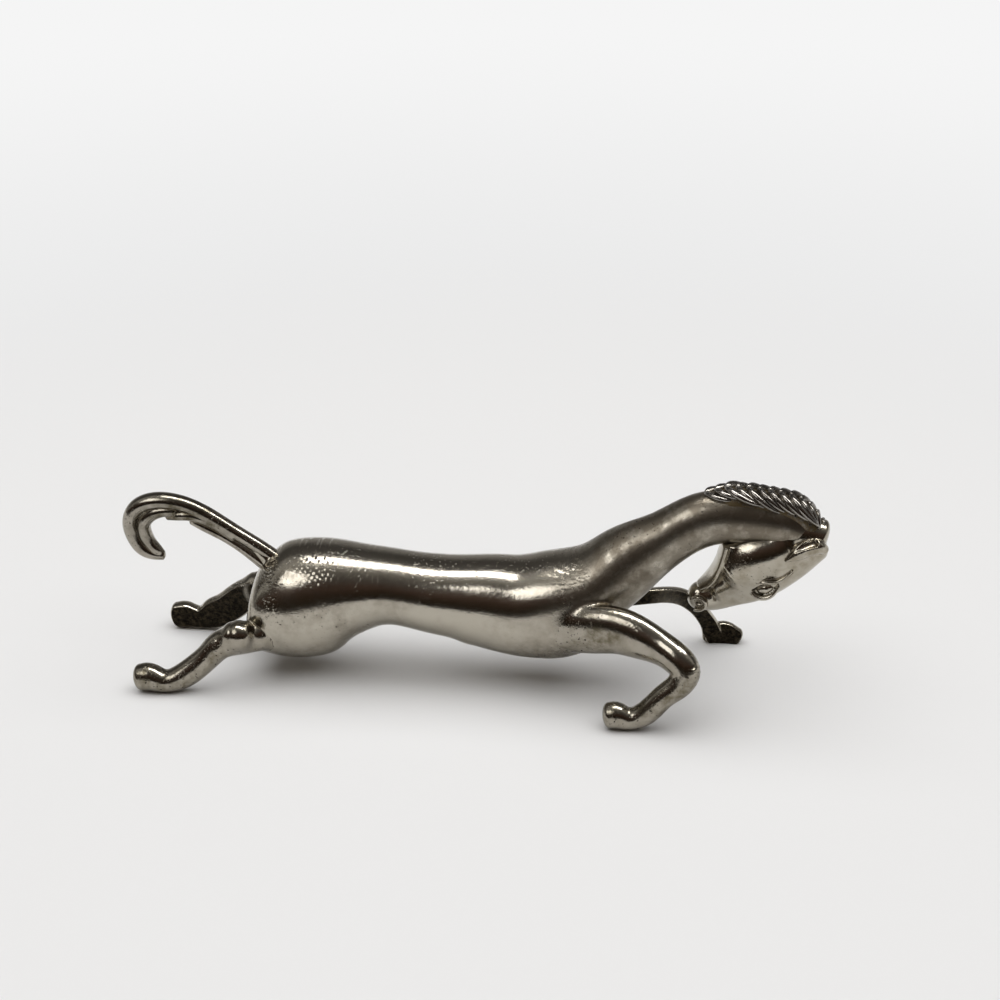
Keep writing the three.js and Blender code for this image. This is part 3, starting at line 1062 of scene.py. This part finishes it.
@dataclass
class Tail:
    """Four strands that rise from the rump and curl over, two of them ending in steps below."""

    places: Places
    thick: float = 1.1
    wide: float = 1.25

    def strands(self) -> list[Tube]:
        """The main strand, the strand inside the curl, and the two short ones.

        Returns:
            One limb for each strand.
        """
        x = self.places.curl
        t = self.thick
        w = self.wide
        main = [
            (22.8, 0, 16.4, t + 0.1, w), (19.4, 0, 19.0, t - 0.05, w - 0.1),
            (16.2, 0, 21.1, t - 0.1, w - 0.1), (12.8, 0, 23.3, t - 0.05, w), (9.8, 0, 24.8, t, w),
            (6.8, 0, 25.5, t + 0.05, w + 0.1), (4.0, 0, 25.25, t + 0.1, w + 0.15),
            (1.85, 0, 24.0, t + 0.05, w + 0.15), (0.95, 0, 21.8, t, w + 0.1), (1.4, 0, 19.6, t, w),
            (2.6, 0, 17.8, t, w - 0.1), (4.3, 0, 16.95, t - 0.25, w - 0.3), (5.4, 0, 16.75, 0.65, 0.7),
        ]
        inner = [
            (7.6, 0, 24.1, t - 0.2, w - 0.1), (5.5, 0, 23.9, t - 0.1, w),
            (3.8, 0, 23.0, t - 0.05, w + 0.05), (2.95, 0, 21.6, t - 0.1, w),
            (3.05, 0, 20.1, t - 0.1, w - 0.05), (3.8, 0, 18.6, t - 0.2, w - 0.2),
            (4.8, 0, 17.5, t - 0.35, w - 0.4), (5.3, 0, 17.1, 0.55, 0.6),
        ]
        lower = [
            (20.6, 0, 16.0, t - 0.1, w - 0.1), (17.6, 0, 18.4, t - 0.25, w - 0.15),
            (14.6, 0, 20.4, t - 0.3, w - 0.2), (11.9, 0, 21.8, t - 0.3, w - 0.2),
            (10.1, 0, 22.6, 0.65, 0.8),
        ]
        middle = [
            (16.0, 0, 20.5, t - 0.3, w - 0.2), (13.0, 0, 22.4, t - 0.25, w - 0.1),
            (10.0, 0, 23.5, t - 0.2, w - 0.05), (7.9, 0, 23.35, t - 0.3, w - 0.2), (6.6, 0, 23.1, 0.6, 0.7),
        ]
        return [Tube(rows_at(x, rows), caps=(0.6, 0.4)) for rows in (main, inner, lower, middle)]

    def build(self) -> None:
        """Models the tail and dresses it."""
        low, high = [np.array(corner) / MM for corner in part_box("tail")]
        shape = Sculpture([Member("tail", self.strands(), Fillet(1, 1), inside=0.22)])
        skin = skin_of(shape, Grain.FINE, low - CAD_MARGIN, high + CAD_MARGIN, 0.3)
        finish = Plate(
            "tail plate", silver="#A39D92", film="#5C5647", pits=0.7, film_amount=1.0, residue_and_shade_amount=1.2,
            pit_size=0.3,
        )
        deliver(mesh_object("tail_casting", skin), finish, "tail")


@dataclass
class Head:
    """Skull, cheeks, muzzle, ears laid back, eyes and nostrils, the same on both sides."""

    places: Places
    cheek_wide: float = 3.85
    muzzle_wide: float = 1.95

    def limbs(self) -> list[tuple[Tube, float]]:
        """The rounded forms of the head and the fillet by which each joins those before it.

        Returns:
            Each form with its fillet.
        """
        x = self.places.muzzle
        skull = Tube(rows_at(x, [
            (16.0, 0, 23.4, 2.6, 2.6), (13.1, 0, 20.8, 2.9, 3.0), (10.6, 0, 18.3, 2.6, 2.8),
            (7.8, 0, 16.45, 2.4, 2.35), (4.8, 0, 15.0, 1.85, 1.95), (2.4, 0, 14.4, 1.95, 1.9),
            (0.8, 0, 14.5, 2.05, self.muzzle_wide),
        ]), caps=(1.5, 1.9), blunt=2.1)
        poll = Tube(rows_at(x, [
            (11.0, 0, 24.8, 2.3, 2.3), (13.4, 0, 25.1, 2.7, 2.7), (16.6, 0, 24.2, 2.9, 2.6),
        ]), caps=(1.5, 1.2))
        cheek = Tube(rows_at(x, [
            (12.6, 0, 23.4, 2.9, 3.2), (9.8, 0, 21.9, 3.9, 3.75), (7.2, 0, 20.5, 4.1, self.cheek_wide),
            (5.4, 0, 19.3, 3.3, 3.55),
        ]), caps=(1.5, 1.5), blunt=2.5)
        throat = Tube(rows_at(x, [
            (5.1, 0, 23.2, 1.1, 2.5), (5.0, 0, 21.4, 1.4, 2.6), (4.9, 0, 19.6, 1.4, 2.6),
        ]), caps=(0.6, 0.6))
        jaw = Tube(rows_at(x, [
            (4.1, 0, 23.2, 0.75, 2.8), (3.5, 0, 20.7, 0.75, 2.9), (2.7, 0, 18.5, 0.8, 2.7),
            (1.7, 0, 17.0, 0.85, 2.2), (0.9, 0, 16.2, 0.8, 1.7),
        ]), caps=(0.5, 0.5))
        bar = Tube(rows_at(x, [
            (7.6, 0, 19.0, 3.0, 3.3), (5.2, 0, 17.5, 2.5, 2.9), (3.2, 0, 16.1, 1.9, 2.35),
        ]), caps=(1.5, 1.0))
        return [(skull, 1.0), (poll, 0.8), (throat, 0.7), (bar, 1.4), (cheek, 1.2), (jaw, 0.5)]

    def ear(self) -> Tube:
        """One ear, laid back along the neck, on the side where Y > 0.

        Returns:
            The ear.
        """
        x = self.places.muzzle
        return Tube(rows_at(x, [
            (12.4, 3.5, 22.3, 0.2, 0.3), (13.6, 3.4, 23.1, 0.8, 0.65), (15.0, 3.1, 24.0, 1.15, 0.85),
            (16.5, 2.65, 24.2, 1.05, 0.95), (17.4, 2.0, 23.6, 0.7, 0.85),
        ]), caps=(0.3, 0.4), pitch=0.1)

    def hollowed(self) -> list[tuple[Tube, float]]:
        """What is cut away on one side: eye socket, bowl of the ear, nostril.

        Returns:
            Each form to cut away, with the rounding of its edge.
        """
        x = self.places.muzzle
        socket = Tube(rows_at(x, [
            (8.2, 2.9, 16.8, 0.5, 0.5), (9.5, 3.25, 17.2, 1.05, 0.7), (11.0, 3.25, 17.9, 0.5, 0.5),
        ]), caps=(0.4, 0.4), pitch=0.1)
        bowl = Tube(rows_at(x, [
            (13.4, 4.0, 24.0, 0.3, 0.35), (14.8, 3.8, 24.9, 0.65, 0.6), (16.2, 3.2, 25.1, 0.6, 0.6),
        ]), caps=(0.3, 0.3), pitch=0.1)
        hole = Tube(rows_at(x, [
            (0.3, 2.0, 14.1, 0.35, 0.45), (0.7, 2.1, 14.1, 0.4, 0.45),
        ]), caps=(0.3, 0.3), pitch=0.1)
        mouth = Tube(rows_at(x, [
            (-1.4, 1.2, 15.9, 0.16, 1.0), (0.6, 2.2, 16.1, 0.18, 0.6), (2.6, 2.4, 15.9, 0.12, 0.4),
        ]), caps=(0.2, 0.2), pitch=0.1)
        return [(socket, 0.2), (bowl, 0.25), (hole, 0.12), (mouth, 0.12)]

    def details(self) -> list[tuple[Tube, float]]:
        """Lids, eyeball, brow and nostril of one side, modelled on the side where Y > 0.

        Returns:
            Each form with its fillet.
        """
        x = self.places.muzzle
        lower_lid = Tube(rows_at(x, [
            (7.7, 2.2, 16.8, 0.18, 0.3), (8.3, 2.55, 16.2, 0.32, 0.4), (9.5, 2.85, 16.0, 0.36, 0.45),
            (10.7, 2.95, 16.6, 0.3, 0.4), (11.5, 2.9, 17.8, 0.16, 0.3),
        ]), caps=(0.2, 0.2), pitch=0.1)
        upper_lid = Tube(rows_at(x, [
            (7.7, 2.2, 16.9, 0.16, 0.3), (8.5, 2.75, 18.0, 0.26, 0.4), (9.6, 3.05, 18.6, 0.28, 0.4),
            (10.8, 3.1, 18.7, 0.28, 0.4), (12.1, 3.05, 19.3, 0.26, 0.35), (13.2, 2.95, 20.4, 0.16, 0.3),
        ]), caps=(0.2, 0.2), pitch=0.1)
        eyeball = Tube(rows_at(x, [
            (9.1, 2.4, 17.1, 0.55, 0.5), (9.7, 2.5, 17.25, 0.7, 0.55), (10.3, 2.5, 17.5, 0.55, 0.45),
        ]), caps=(0.5, 0.5), pitch=0.1)
        nostril = Tube(rows_at(x, [
            (-0.2, 1.6, 14.7, 0.25, 0.3), (0.4, 1.95, 15.1, 0.28, 0.35), (1.2, 2.05, 14.8, 0.28, 0.35),
            (1.5, 2.0, 14.0, 0.28, 0.35), (1.0, 1.9, 13.3, 0.3, 0.35), (0.1, 1.6, 13.0, 0.3, 0.35),
        ]), caps=(0.2, 0.2), pitch=0.1)
        return [(lower_lid, 0.15), (upper_lid, 0.25), (eyeball, 0.06), (nostril, 0.2)]

    def build(self) -> None:
        """Models the head and dresses it."""
        limbs = self.limbs()
        details = self.details()
        ear = self.ear()
        cuts = self.hollowed()

        class HeadForm(Member):
            """All forms of the head, with those of one side read on both."""

            def distance(self, points: np.ndarray) -> np.ndarray:
                """The distance to the head.

                Args:
                    points: places to read, one to a row.

                Returns:
                    One distance for each point.
                """
                folded = points * [1, 0, 1] + np.abs(points) * [0, 1, 0]
                result = limbs[0][0].distance(points)
                for limb, radius in limbs[1:]:
                    result = soft_min(result, limb.distance(points), radius)
                result = soft_min(result, ear.distance(folded), 0.35)
                for cut, radius in cuts:
                    result = soft_max(result, -cut.distance(folded), radius)
                for limb, radius in details:
                    result = soft_min(result, limb.distance(folded), radius)
                return result

        shape = Sculpture([HeadForm("head", [], Fillet(1, 1))])
        low, high = [np.array(corner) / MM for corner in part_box("head")]
        skin = skin_of(shape, Grain.FINE, low - 3, high + 3, 0.28)
        finish = Plate("head plate", pits=0.45, film_amount=0.6, residue_and_shade_amount=1.1, pit_size=0.32)
        deliver(mesh_object("head_casting", skin), finish, "head")


@dataclass
class Mane:
    """Locks that start on the crest of the neck and fall to both sides, leaning to the poll."""

    places: Places
    locks: int = 13
    lock_length: float = 4.7
    fall: float = 72.0
    neck_radius: float = 3.0
    lock_half: float = 0.62
    seed: int = 4

    def crest(self) -> list[Point]:
        """Points on the ridge of the mane, from the neck to the forelock.

        Returns:
            The points in millimetres.
        """
        x = self.places.poll
        return [
            (x - 13.1, 0, 30.35), (x - 10.5, 0, 31.3), (x - 7.9, 0, 31.4), (x - 5.2, 0, 31.2),
            (x - 2.6, 0, 30.8), (x - 0.1, 0, 30.1), (x + 1.6, 0, 29.0), (x + 3.1, 0, 27.2),
        ]

    def saddle(self) -> Skin:
        """The smooth bed on which the locks lie.

        Returns:
            Its skin.
        """
        points = np.array(self.crest())
        along = np.gradient(points, axis=0)
        along /= np.linalg.norm(along, axis=1, keepdims=True)
        inward = np.stack([along[:, 2], along[:, 1], -along[:, 0]], 1)
        beds = points + inward * 2.1
        rows = [(*bed, 1.9, 2.3) for bed in beds]
        rows[0] = (*(points[0] + inward[0] * 0.9), 0.6, 1.0)
        shape = Sculpture([Member("mane", [Tube(rows, caps=(1.0, 1.0))], Fillet(1, 1))])
        low, high = [np.array(corner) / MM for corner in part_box("mane")]
        return skin_of(shape, Grain.FINE, low - CAD_MARGIN, high + CAD_MARGIN, 0.3)

    def lock(self, side: Side) -> bpy.types.Object:
        """One leaf-shaped lock in its own frame: X along the crest, Z away from the neck.

        Args:
            side: the side to which it falls.

        Returns:
            The lock, which isn't in the scene.
        """
        turns = 14
        ring = 10
        corners = []
        underside_shade = []
        for i in range(turns + 1):
            share = i / turns
            angle = math.radians(self.fall) * share
            middle = Vector((
                self.lock_length * (0.35 * share + 0.65 * share**1.9),
                self.neck_radius * math.sin(angle),
                self.neck_radius * (math.cos(angle) - 1),
            ))
            outward = Vector((0, math.sin(angle), math.cos(angle)))
            middle -= outward * (0.1 + 0.75 * share**3)
            swell = max(math.sin(math.pi * (0.1 + 0.86 * share**0.8)), 0.0) ** 0.75
            broad = self.lock_half * swell
            thick = self.lock_half * 1.15 * swell
            pace = self.lock_length * (0.35 + 1.23 * share**0.9)
            turn_pace = self.neck_radius * math.radians(self.fall)
            travel = Vector((pace, turn_pace * math.cos(angle), -turn_pace * math.sin(angle)))
            travel.normalize()
            over = outward.cross(travel).normalized()
            for k in range(ring):
                turn = 2 * math.pi * k / ring
                rise = math.sin(turn) * thick + 0.18 * swell * math.cos(turn)
                spot = middle + over * (math.cos(turn) * broad) + outward * rise
                corners.append((spot.x * MM, spot.y * side.value * MM, spot.z * MM))
                # painted shade: the side of the lock that faces the neck is marked deep, so it is painted
                # darker
                underside_shade.append(0.5 - 0.5 * math.sin(turn))
        faces = []
        for i in range(turns):
            for k in range(ring):
                a = i * ring + k
                b = i * ring + (k + 1) % ring
                faces.append((a, b, b + ring, a + ring))
        faces.append(tuple(range(ring))[::-1])
        faces.append(tuple(range(turns * ring, turns * ring + ring)))
        if side is Side.RIGHT:
            faces = [face[::-1] for face in faces]
        mesh = bpy.data.meshes.new(f"lock_{side.name.lower()}")
        mesh.from_pydata(corners, [], faces)
        mesh.polygons.foreach_set("use_smooth", [True] * len(mesh.polygons))
        store(mesh, "hollow", np.array(underside_shade) * 0.9)
        return bpy.data.objects.new(mesh.name, mesh)

    def tree(self) -> bpy.types.NodeTree:
        """Geometry nodes that lay locks along the crest on both sides.

        Returns:
            The node tree.
        """
        tree = bpy.data.node_groups.new("mane locks", "GeometryNodeTree")
        face = tree.interface
        inputs = {
            "Crest": "Geometry",
            "Right Lock": "Object",
            "Left Lock": "Object",
            "Locks": "Int",
            "Seed": "Int",
            "Metal": "Material",
        }
        for name, kind in inputs.items():
            face.new_socket(name, in_out="INPUT", socket_type=f"NodeSocket{kind}")
        face.new_socket("Mane", in_out="OUTPUT", socket_type="NodeSocketGeometry")
        given = add_node(tree, "NodeGroupInput")
        points = add_node(
            tree, "GeometryNodeCurveToPoints", mode="COUNT",
            Curve=given.outputs["Crest"], Count=given.outputs["Locks"],
        )
        along = add_node(
            tree, "FunctionNodeAlignRotationToVector", axis="X", Vector=points.outputs["Tangent"]
        )
        outward = add_node(
            tree, "ShaderNodeVectorMath", operation="CROSS_PRODUCT",
            i0=points.outputs["Tangent"], i1=(0, 1, 0),
        )
        square = add_node(
            tree, "FunctionNodeAlignRotationToVector", axis="Z", pivot_axis="X",
            Rotation=along.outputs[0], Vector=outward.outputs[0],
        )
        index = add_node(tree, "GeometryNodeInputIndex")
        share = add_node(tree, MATH, operation="DIVIDE", i0=index, i1=given.outputs["Locks"])
        growth = add_node(
            tree, FADE, interpolation_type="SMOOTHSTEP",
            i0=share.outputs[0], i1=0.0, i2=0.2, i3=0.8, i4=1.0,
        )
        waning = add_node(
            tree, FADE, interpolation_type="SMOOTHSTEP",
            i0=share.outputs[0], i1=0.55, i2=1.0, i3=1.0, i4=0.5,
        )
        grown = add_node(tree, MATH, operation="MULTIPLY", i0=growth, i1=waning)
        odd = add_node(
            tree, "FunctionNodeRandomValue", data_type="FLOAT", i2=0.9, i3=1.08, Seed=given.outputs["Seed"]
        )
        size = add_node(
            tree, MATH, operation="MULTIPLY", i0=grown.outputs[0], i1=odd.outputs[1]
        )
        joined = add_node(tree, "GeometryNodeJoinGeometry")
        for name in ("Right Lock", "Left Lock"):
            picked = add_node(tree, "GeometryNodeObjectInfo", Object=given.outputs[name])
            laid = add_node(
                tree, "GeometryNodeInstanceOnPoints", Points=points.outputs["Points"],
                Instance=picked.outputs["Geometry"], Rotation=square.outputs[0], Scale=size.outputs[0],
            )
            tree.links.new(laid.outputs[0], joined.inputs[0])
        real = add_node(tree, "GeometryNodeRealizeInstances", Geometry=joined.outputs[0])
        dressed = add_node(
            tree, "GeometryNodeSetMaterial", Geometry=real.outputs[0], Material=given.outputs["Metal"]
        )
        result = add_node(tree, "NodeGroupOutput")
        tree.links.new(dressed.outputs[0], result.inputs["Mane"])
        return tree

    def crest_curve(self) -> bpy.types.Object:
        """The crest as a smooth curve.

        Returns:
            The curve, in the scene.
        """
        curve = bpy.data.curves.new("crest", "CURVE")
        curve.dimensions = "3D"
        points = np.array(self.crest())
        steps = np.linalg.norm(np.diff(points, axis=0), axis=1)
        knots = np.concatenate([[0], np.cumsum(steps)])
        smooth = spline(knots, points, np.linspace(0, knots[-1], CREST_STEPS)) * MM
        line = curve.splines.new("POLY")
        line.points.add(len(smooth) - 1)
        for point, spot in zip(line.points, smooth):
            point.co = (*spot, 1)
        made = bpy.data.objects.new("crest", curve)
        bpy.context.scene.collection.objects.link(made)
        return made

    def build(self) -> None:
        """Lays the locks on the saddle, joins them and dresses the casting."""
        finish = Plate(
            "mane plate", silver="#A29E98", film="#57534D", pits=0.5, film_amount=0.9, residue_and_shade_amount=1.5,
            pit_size=0.3,
        )
        crest = self.crest_curve()
        modifier = crest.modifiers.new("mane locks", "NODES")
        modifier.node_group = self.tree()
        locks = {side: self.lock(side) for side in Side}
        values = {
            "Right Lock": locks[Side.RIGHT],
            "Left Lock": locks[Side.LEFT],
            "Locks": self.locks,
            "Seed": self.seed,
            "Metal": finish.material(),
        }
        for item in modifier.node_group.interface.items_tree:
            if item.in_out == "INPUT" and item.name in values:
                modifier[item.identifier] = values[item.name]
        bpy.context.view_layer.update()
        graph = bpy.context.evaluated_depsgraph_get()
        mesh = bpy.data.meshes.new_from_object(crest.evaluated_get(graph), depsgraph=graph)
        crest.modifiers.remove(modifier)
        bpy.data.objects.remove(crest)
        laid = bpy.data.objects.new("mane_locks", mesh)
        bpy.context.scene.collection.objects.link(laid)
        bed = mesh_object("mane_casting", self.saddle())
        # painted shade: the bed between the locks is painted dark through its hollow value
        shade = np.full(len(bed.data.vertices), BED_SHADE, np.float32)
        bed.data.attributes["hollow"].data.foreach_set("value", shade)
        with bpy.context.temp_override(active_object=bed, selected_editable_objects=[bed, laid]):
            bpy.ops.object.join()
        for lock in locks.values():
            bpy.data.objects.remove(lock)
        deliver(bed, finish, "mane")


# ------------------------------------------------------------------ the studio


@dataclass
class Studio:
    """A pale table, a pale surround that only the camera sees, and what the metal reflects."""

    camera_place: Point = (33.3, -276.8, 157.7)
    camera_turn: float = 6.0
    camera_drop: float = 25.0
    lens: float = 79.2
    pale: str = "#F5F5F5"
    near: str = "#E9E9E9"
    room: tuple[tuple[float, str], ...] = (
        (-120, "#2C2824"),
        (-5, "#221D19"),
        (12, "#33291F"),
        (30, "#4C3C34"),
        (50, "#54504C"),
        (68, "#77746F"),
        (82, "#B4B2AE"),
        (98, "#A4A2A0"),
        (110, "#545250"),
        (140, "#4E4C4A"),
        (160, "#8E8C8A"),
        (179, "#A8A6A4"),
    )

    def camera(self) -> None:
        """Places the camera in front of the horse's right side, a little toward its head."""
        data = bpy.data.cameras.new("camera")
        data.lens = self.lens
        data.sensor_width = SENSOR_WIDTH
        data.clip_start = 0.01
        made = bpy.data.objects.new("camera", data)
        made.location = Vector(self.camera_place) * MM
        made.rotation_euler = Euler((math.radians(90 - self.camera_drop), 0, math.radians(self.camera_turn)))
        bpy.context.scene.collection.objects.link(made)
        bpy.context.scene.camera = made

    def paint(self, name: str, colour: str, glow: float = 0.0) -> bpy.types.Material:
        """A plain matt paint, or a card that gives off light.

        Args:
            name: the material's name.
            colour: its sRGB hex code.
            glow: how much light it gives off, or 0 for paint.

        Returns:
            The material.
        """
        made = new_material(name)
        tree = made.node_tree
        if glow:
            shader = add_node(tree, "ShaderNodeEmission", Color=linear(colour), Strength=glow)
        else:
            shader = add_node(tree, "ShaderNodeBsdfPrincipled", Base_Color=linear(colour), Roughness=0.9)
        add_node(tree, "ShaderNodeOutputMaterial", Surface=shader)
        return made

    def board(self, name: str, corners: Sequence[Point], material: bpy.types.Material) -> bpy.types.Object:
        """A flat sheet through four corners in metres.

        Args:
            name: the sheet's name.
            corners: its four corners, in turn.
            material: its finish.

        Returns:
            The sheet, in the scene, as part of the studio.
        """
        mesh = bpy.data.meshes.new(name)
        mesh.from_pydata([tuple(c) for c in corners], [], [(0, 1, 2, 3)])
        mesh.materials.append(material)
        made = bpy.data.objects.new(name, mesh)
        bpy.context.scene.collection.objects.link(made)
        return made

    def level(self, name: str, x: tuple[float, float], y: tuple[float, float], z: float,
              material: bpy.types.Material) -> bpy.types.Object:
        """A level sheet over a range of X and Y.

        Args:
            name: the sheet's name.
            x: its least and greatest X, in metres.
            y: its least and greatest Y.
            z: its height.
            material: its finish.

        Returns:
            The sheet, in the scene, as part of the studio.
        """
        corners = [(x[0], y[0], z), (x[1], y[0], z), (x[1], y[1], z), (x[0], y[1], z)]
        return self.board(name, corners, material)

    def paper(self) -> bpy.types.Material:
        """Matt paper that pales into the surround away from the horse.

        Returns:
            The material.
        """
        made = new_material("paper")
        tree = made.node_tree
        place = add_node(tree, "ShaderNodeTexCoord").outputs["Object"]
        reach = add_node(tree, "ShaderNodeVectorMath", operation="LENGTH", i0=place).outputs["Value"]
        share, far = [
            add_node(tree, FADE, interpolation_type="SMOOTHSTEP", i0=reach, i1=near, i2=end)
            for near, end in ((0.09, 0.21), (0.1, 0.42))
        ]
        ends = {"i6": linear(self.near), "i7": linear(self.pale)}
        glow = add_node(tree, "ShaderNodeMix", data_type="RGBA", i0=far, **ends)
        matt = add_node(tree, "ShaderNodeBsdfDiffuse", Color=linear("#E6E6E6"))
        pale = add_node(tree, "ShaderNodeEmission", Color=glow, Strength=1.0)
        mixed = add_node(tree, "ShaderNodeMixShader", i0=share, i1=matt, i2=pale)
        add_node(tree, "ShaderNodeOutputMaterial", Surface=mixed)
        return made

    def table(self) -> None:
        """The table: the metal sees only the sheet near the horse, which ends in front of it."""
        paper = self.paper()
        edge = -0.1
        half = (-TABLE_HALF_WIDTH, TABLE_HALF_WIDTH)
        self.level("table", half, (edge, TABLE_DEPTH), 0, paper)
        front = self.level("table_front", half, (-TABLE_DEPTH, edge), 0, paper)
        front.visible_glossy = False

    def surround(self) -> None:
        """A pale shell far off that only the camera sees."""
        bpy.ops.mesh.primitive_uv_sphere_add(segments=48, ring_count=24, radius=SHELL_RADIUS)
        shell = bpy.context.object
        shell.name = "surround"
        shell.data.materials.append(self.paint("surround glow", self.pale, 1.0))
        shell.visible_glossy = False
        shell.visible_diffuse = False
        shell.visible_shadow = False

    def lamp(self, name: str, place: Point, aim: Point, size: tuple[float, float], watts: float,
             glossy: bool) -> None:
        """A soft rectangular lamp: one that only the metal sees, or one that lights only what is matt.

        Args:
            name: the lamp's name.
            place: where it hangs, in metres.
            aim: the point that it faces.
            size: its length and width, in metres.
            watts: its power.
            glossy: whether it is for the metal, and not for the paper.
        """
        data = bpy.data.lights.new(name, "AREA")
        data.shape = "RECTANGLE"
        data.size = size[0]
        data.size_y = size[1]
        data.energy = watts
        made = bpy.data.objects.new(name, data)
        made.location = place
        made.rotation_euler = (Vector(aim) - Vector(place)).to_track_quat("-Z", "Y").to_euler()
        made.visible_glossy = glossy
        made.visible_diffuse = not glossy
        made.visible_camera = False
        bpy.context.scene.collection.objects.link(made)

    def lights(self) -> None:
        """A strip overhead and a lamp behind the tail for the metal alone, and a fill for the paper."""
        self.lamp("strip", (0.17, 0.03, 0.62), (0.17, 0.0, 0.0), (0.64, 0.13), 3.0, True)
        self.lamp("rear_square", (-0.33, -0.38, 0.5), (0.0, 0.0, 0.0), (0.36, 0.28), 0.9, True)
        self.lamp("fill", (0.0, 0.0, 0.9), (0.0, 0.0, 0.0), (1.9, 1.5), 15.0, False)

    def air(self) -> None:
        """The dim room that the metal reflects, by height from the front, over the top, to the back."""
        world = bpy.data.worlds.new("room")
        world.use_nodes = True
        tree = world.node_tree
        background = tree.nodes["Background"]
        toward = add_node(tree, "ShaderNodeTexCoord").outputs["Generated"]
        split = add_node(tree, "ShaderNodeSeparateXYZ", Vector=toward)
        front = add_node(tree, MATH, operation="MULTIPLY", i0=split.outputs["Y"], i1=-1.0)
        height = add_node(
            tree, MATH, operation="ARCTAN2", i0=split.outputs["Z"], i1=front.outputs[0]
        )
        share = add_node(
            tree, FADE, i0=height.outputs[0], i1=-math.pi, i2=math.pi, i3=0.0, i4=1.0
        )
        bands = add_node(tree, "ShaderNodeValToRGB", i0=share.outputs[0])
        ramp = bands.color_ramp
        while len(ramp.elements) > 1:
            ramp.elements.remove(ramp.elements[-1])
        for turn, colour in self.room:
            place = (turn + 180) / 360
            element = ramp.elements.new(place)
            element.color = linear(colour)
        ramp.elements.remove(ramp.elements[0])
        tree.links.new(bands.outputs[0], background.inputs["Color"])
        background.inputs["Strength"].default_value = 1.0
        bpy.context.scene.world = world

    def build(self) -> None:
        """Sets the whole studio."""
        bpy.context.scene.view_settings.view_transform = "Standard"
        self.table()
        self.surround()
        self.lights()
        self.air()


def main() -> None:
    """Builds the studio's camera first, then the castings, then the rest of the studio."""
    logging.basicConfig(level=logging.INFO, format="%(message)s")
    studio = Studio()
    studio.camera()
    places = Places()
    Trunk(places).build()
    Tail(places).build()
    Head(places).build()
    Mane(places).build()
    studio.build()
    bpy.context.view_layer.update()


if __name__ == "__main__":
    main()
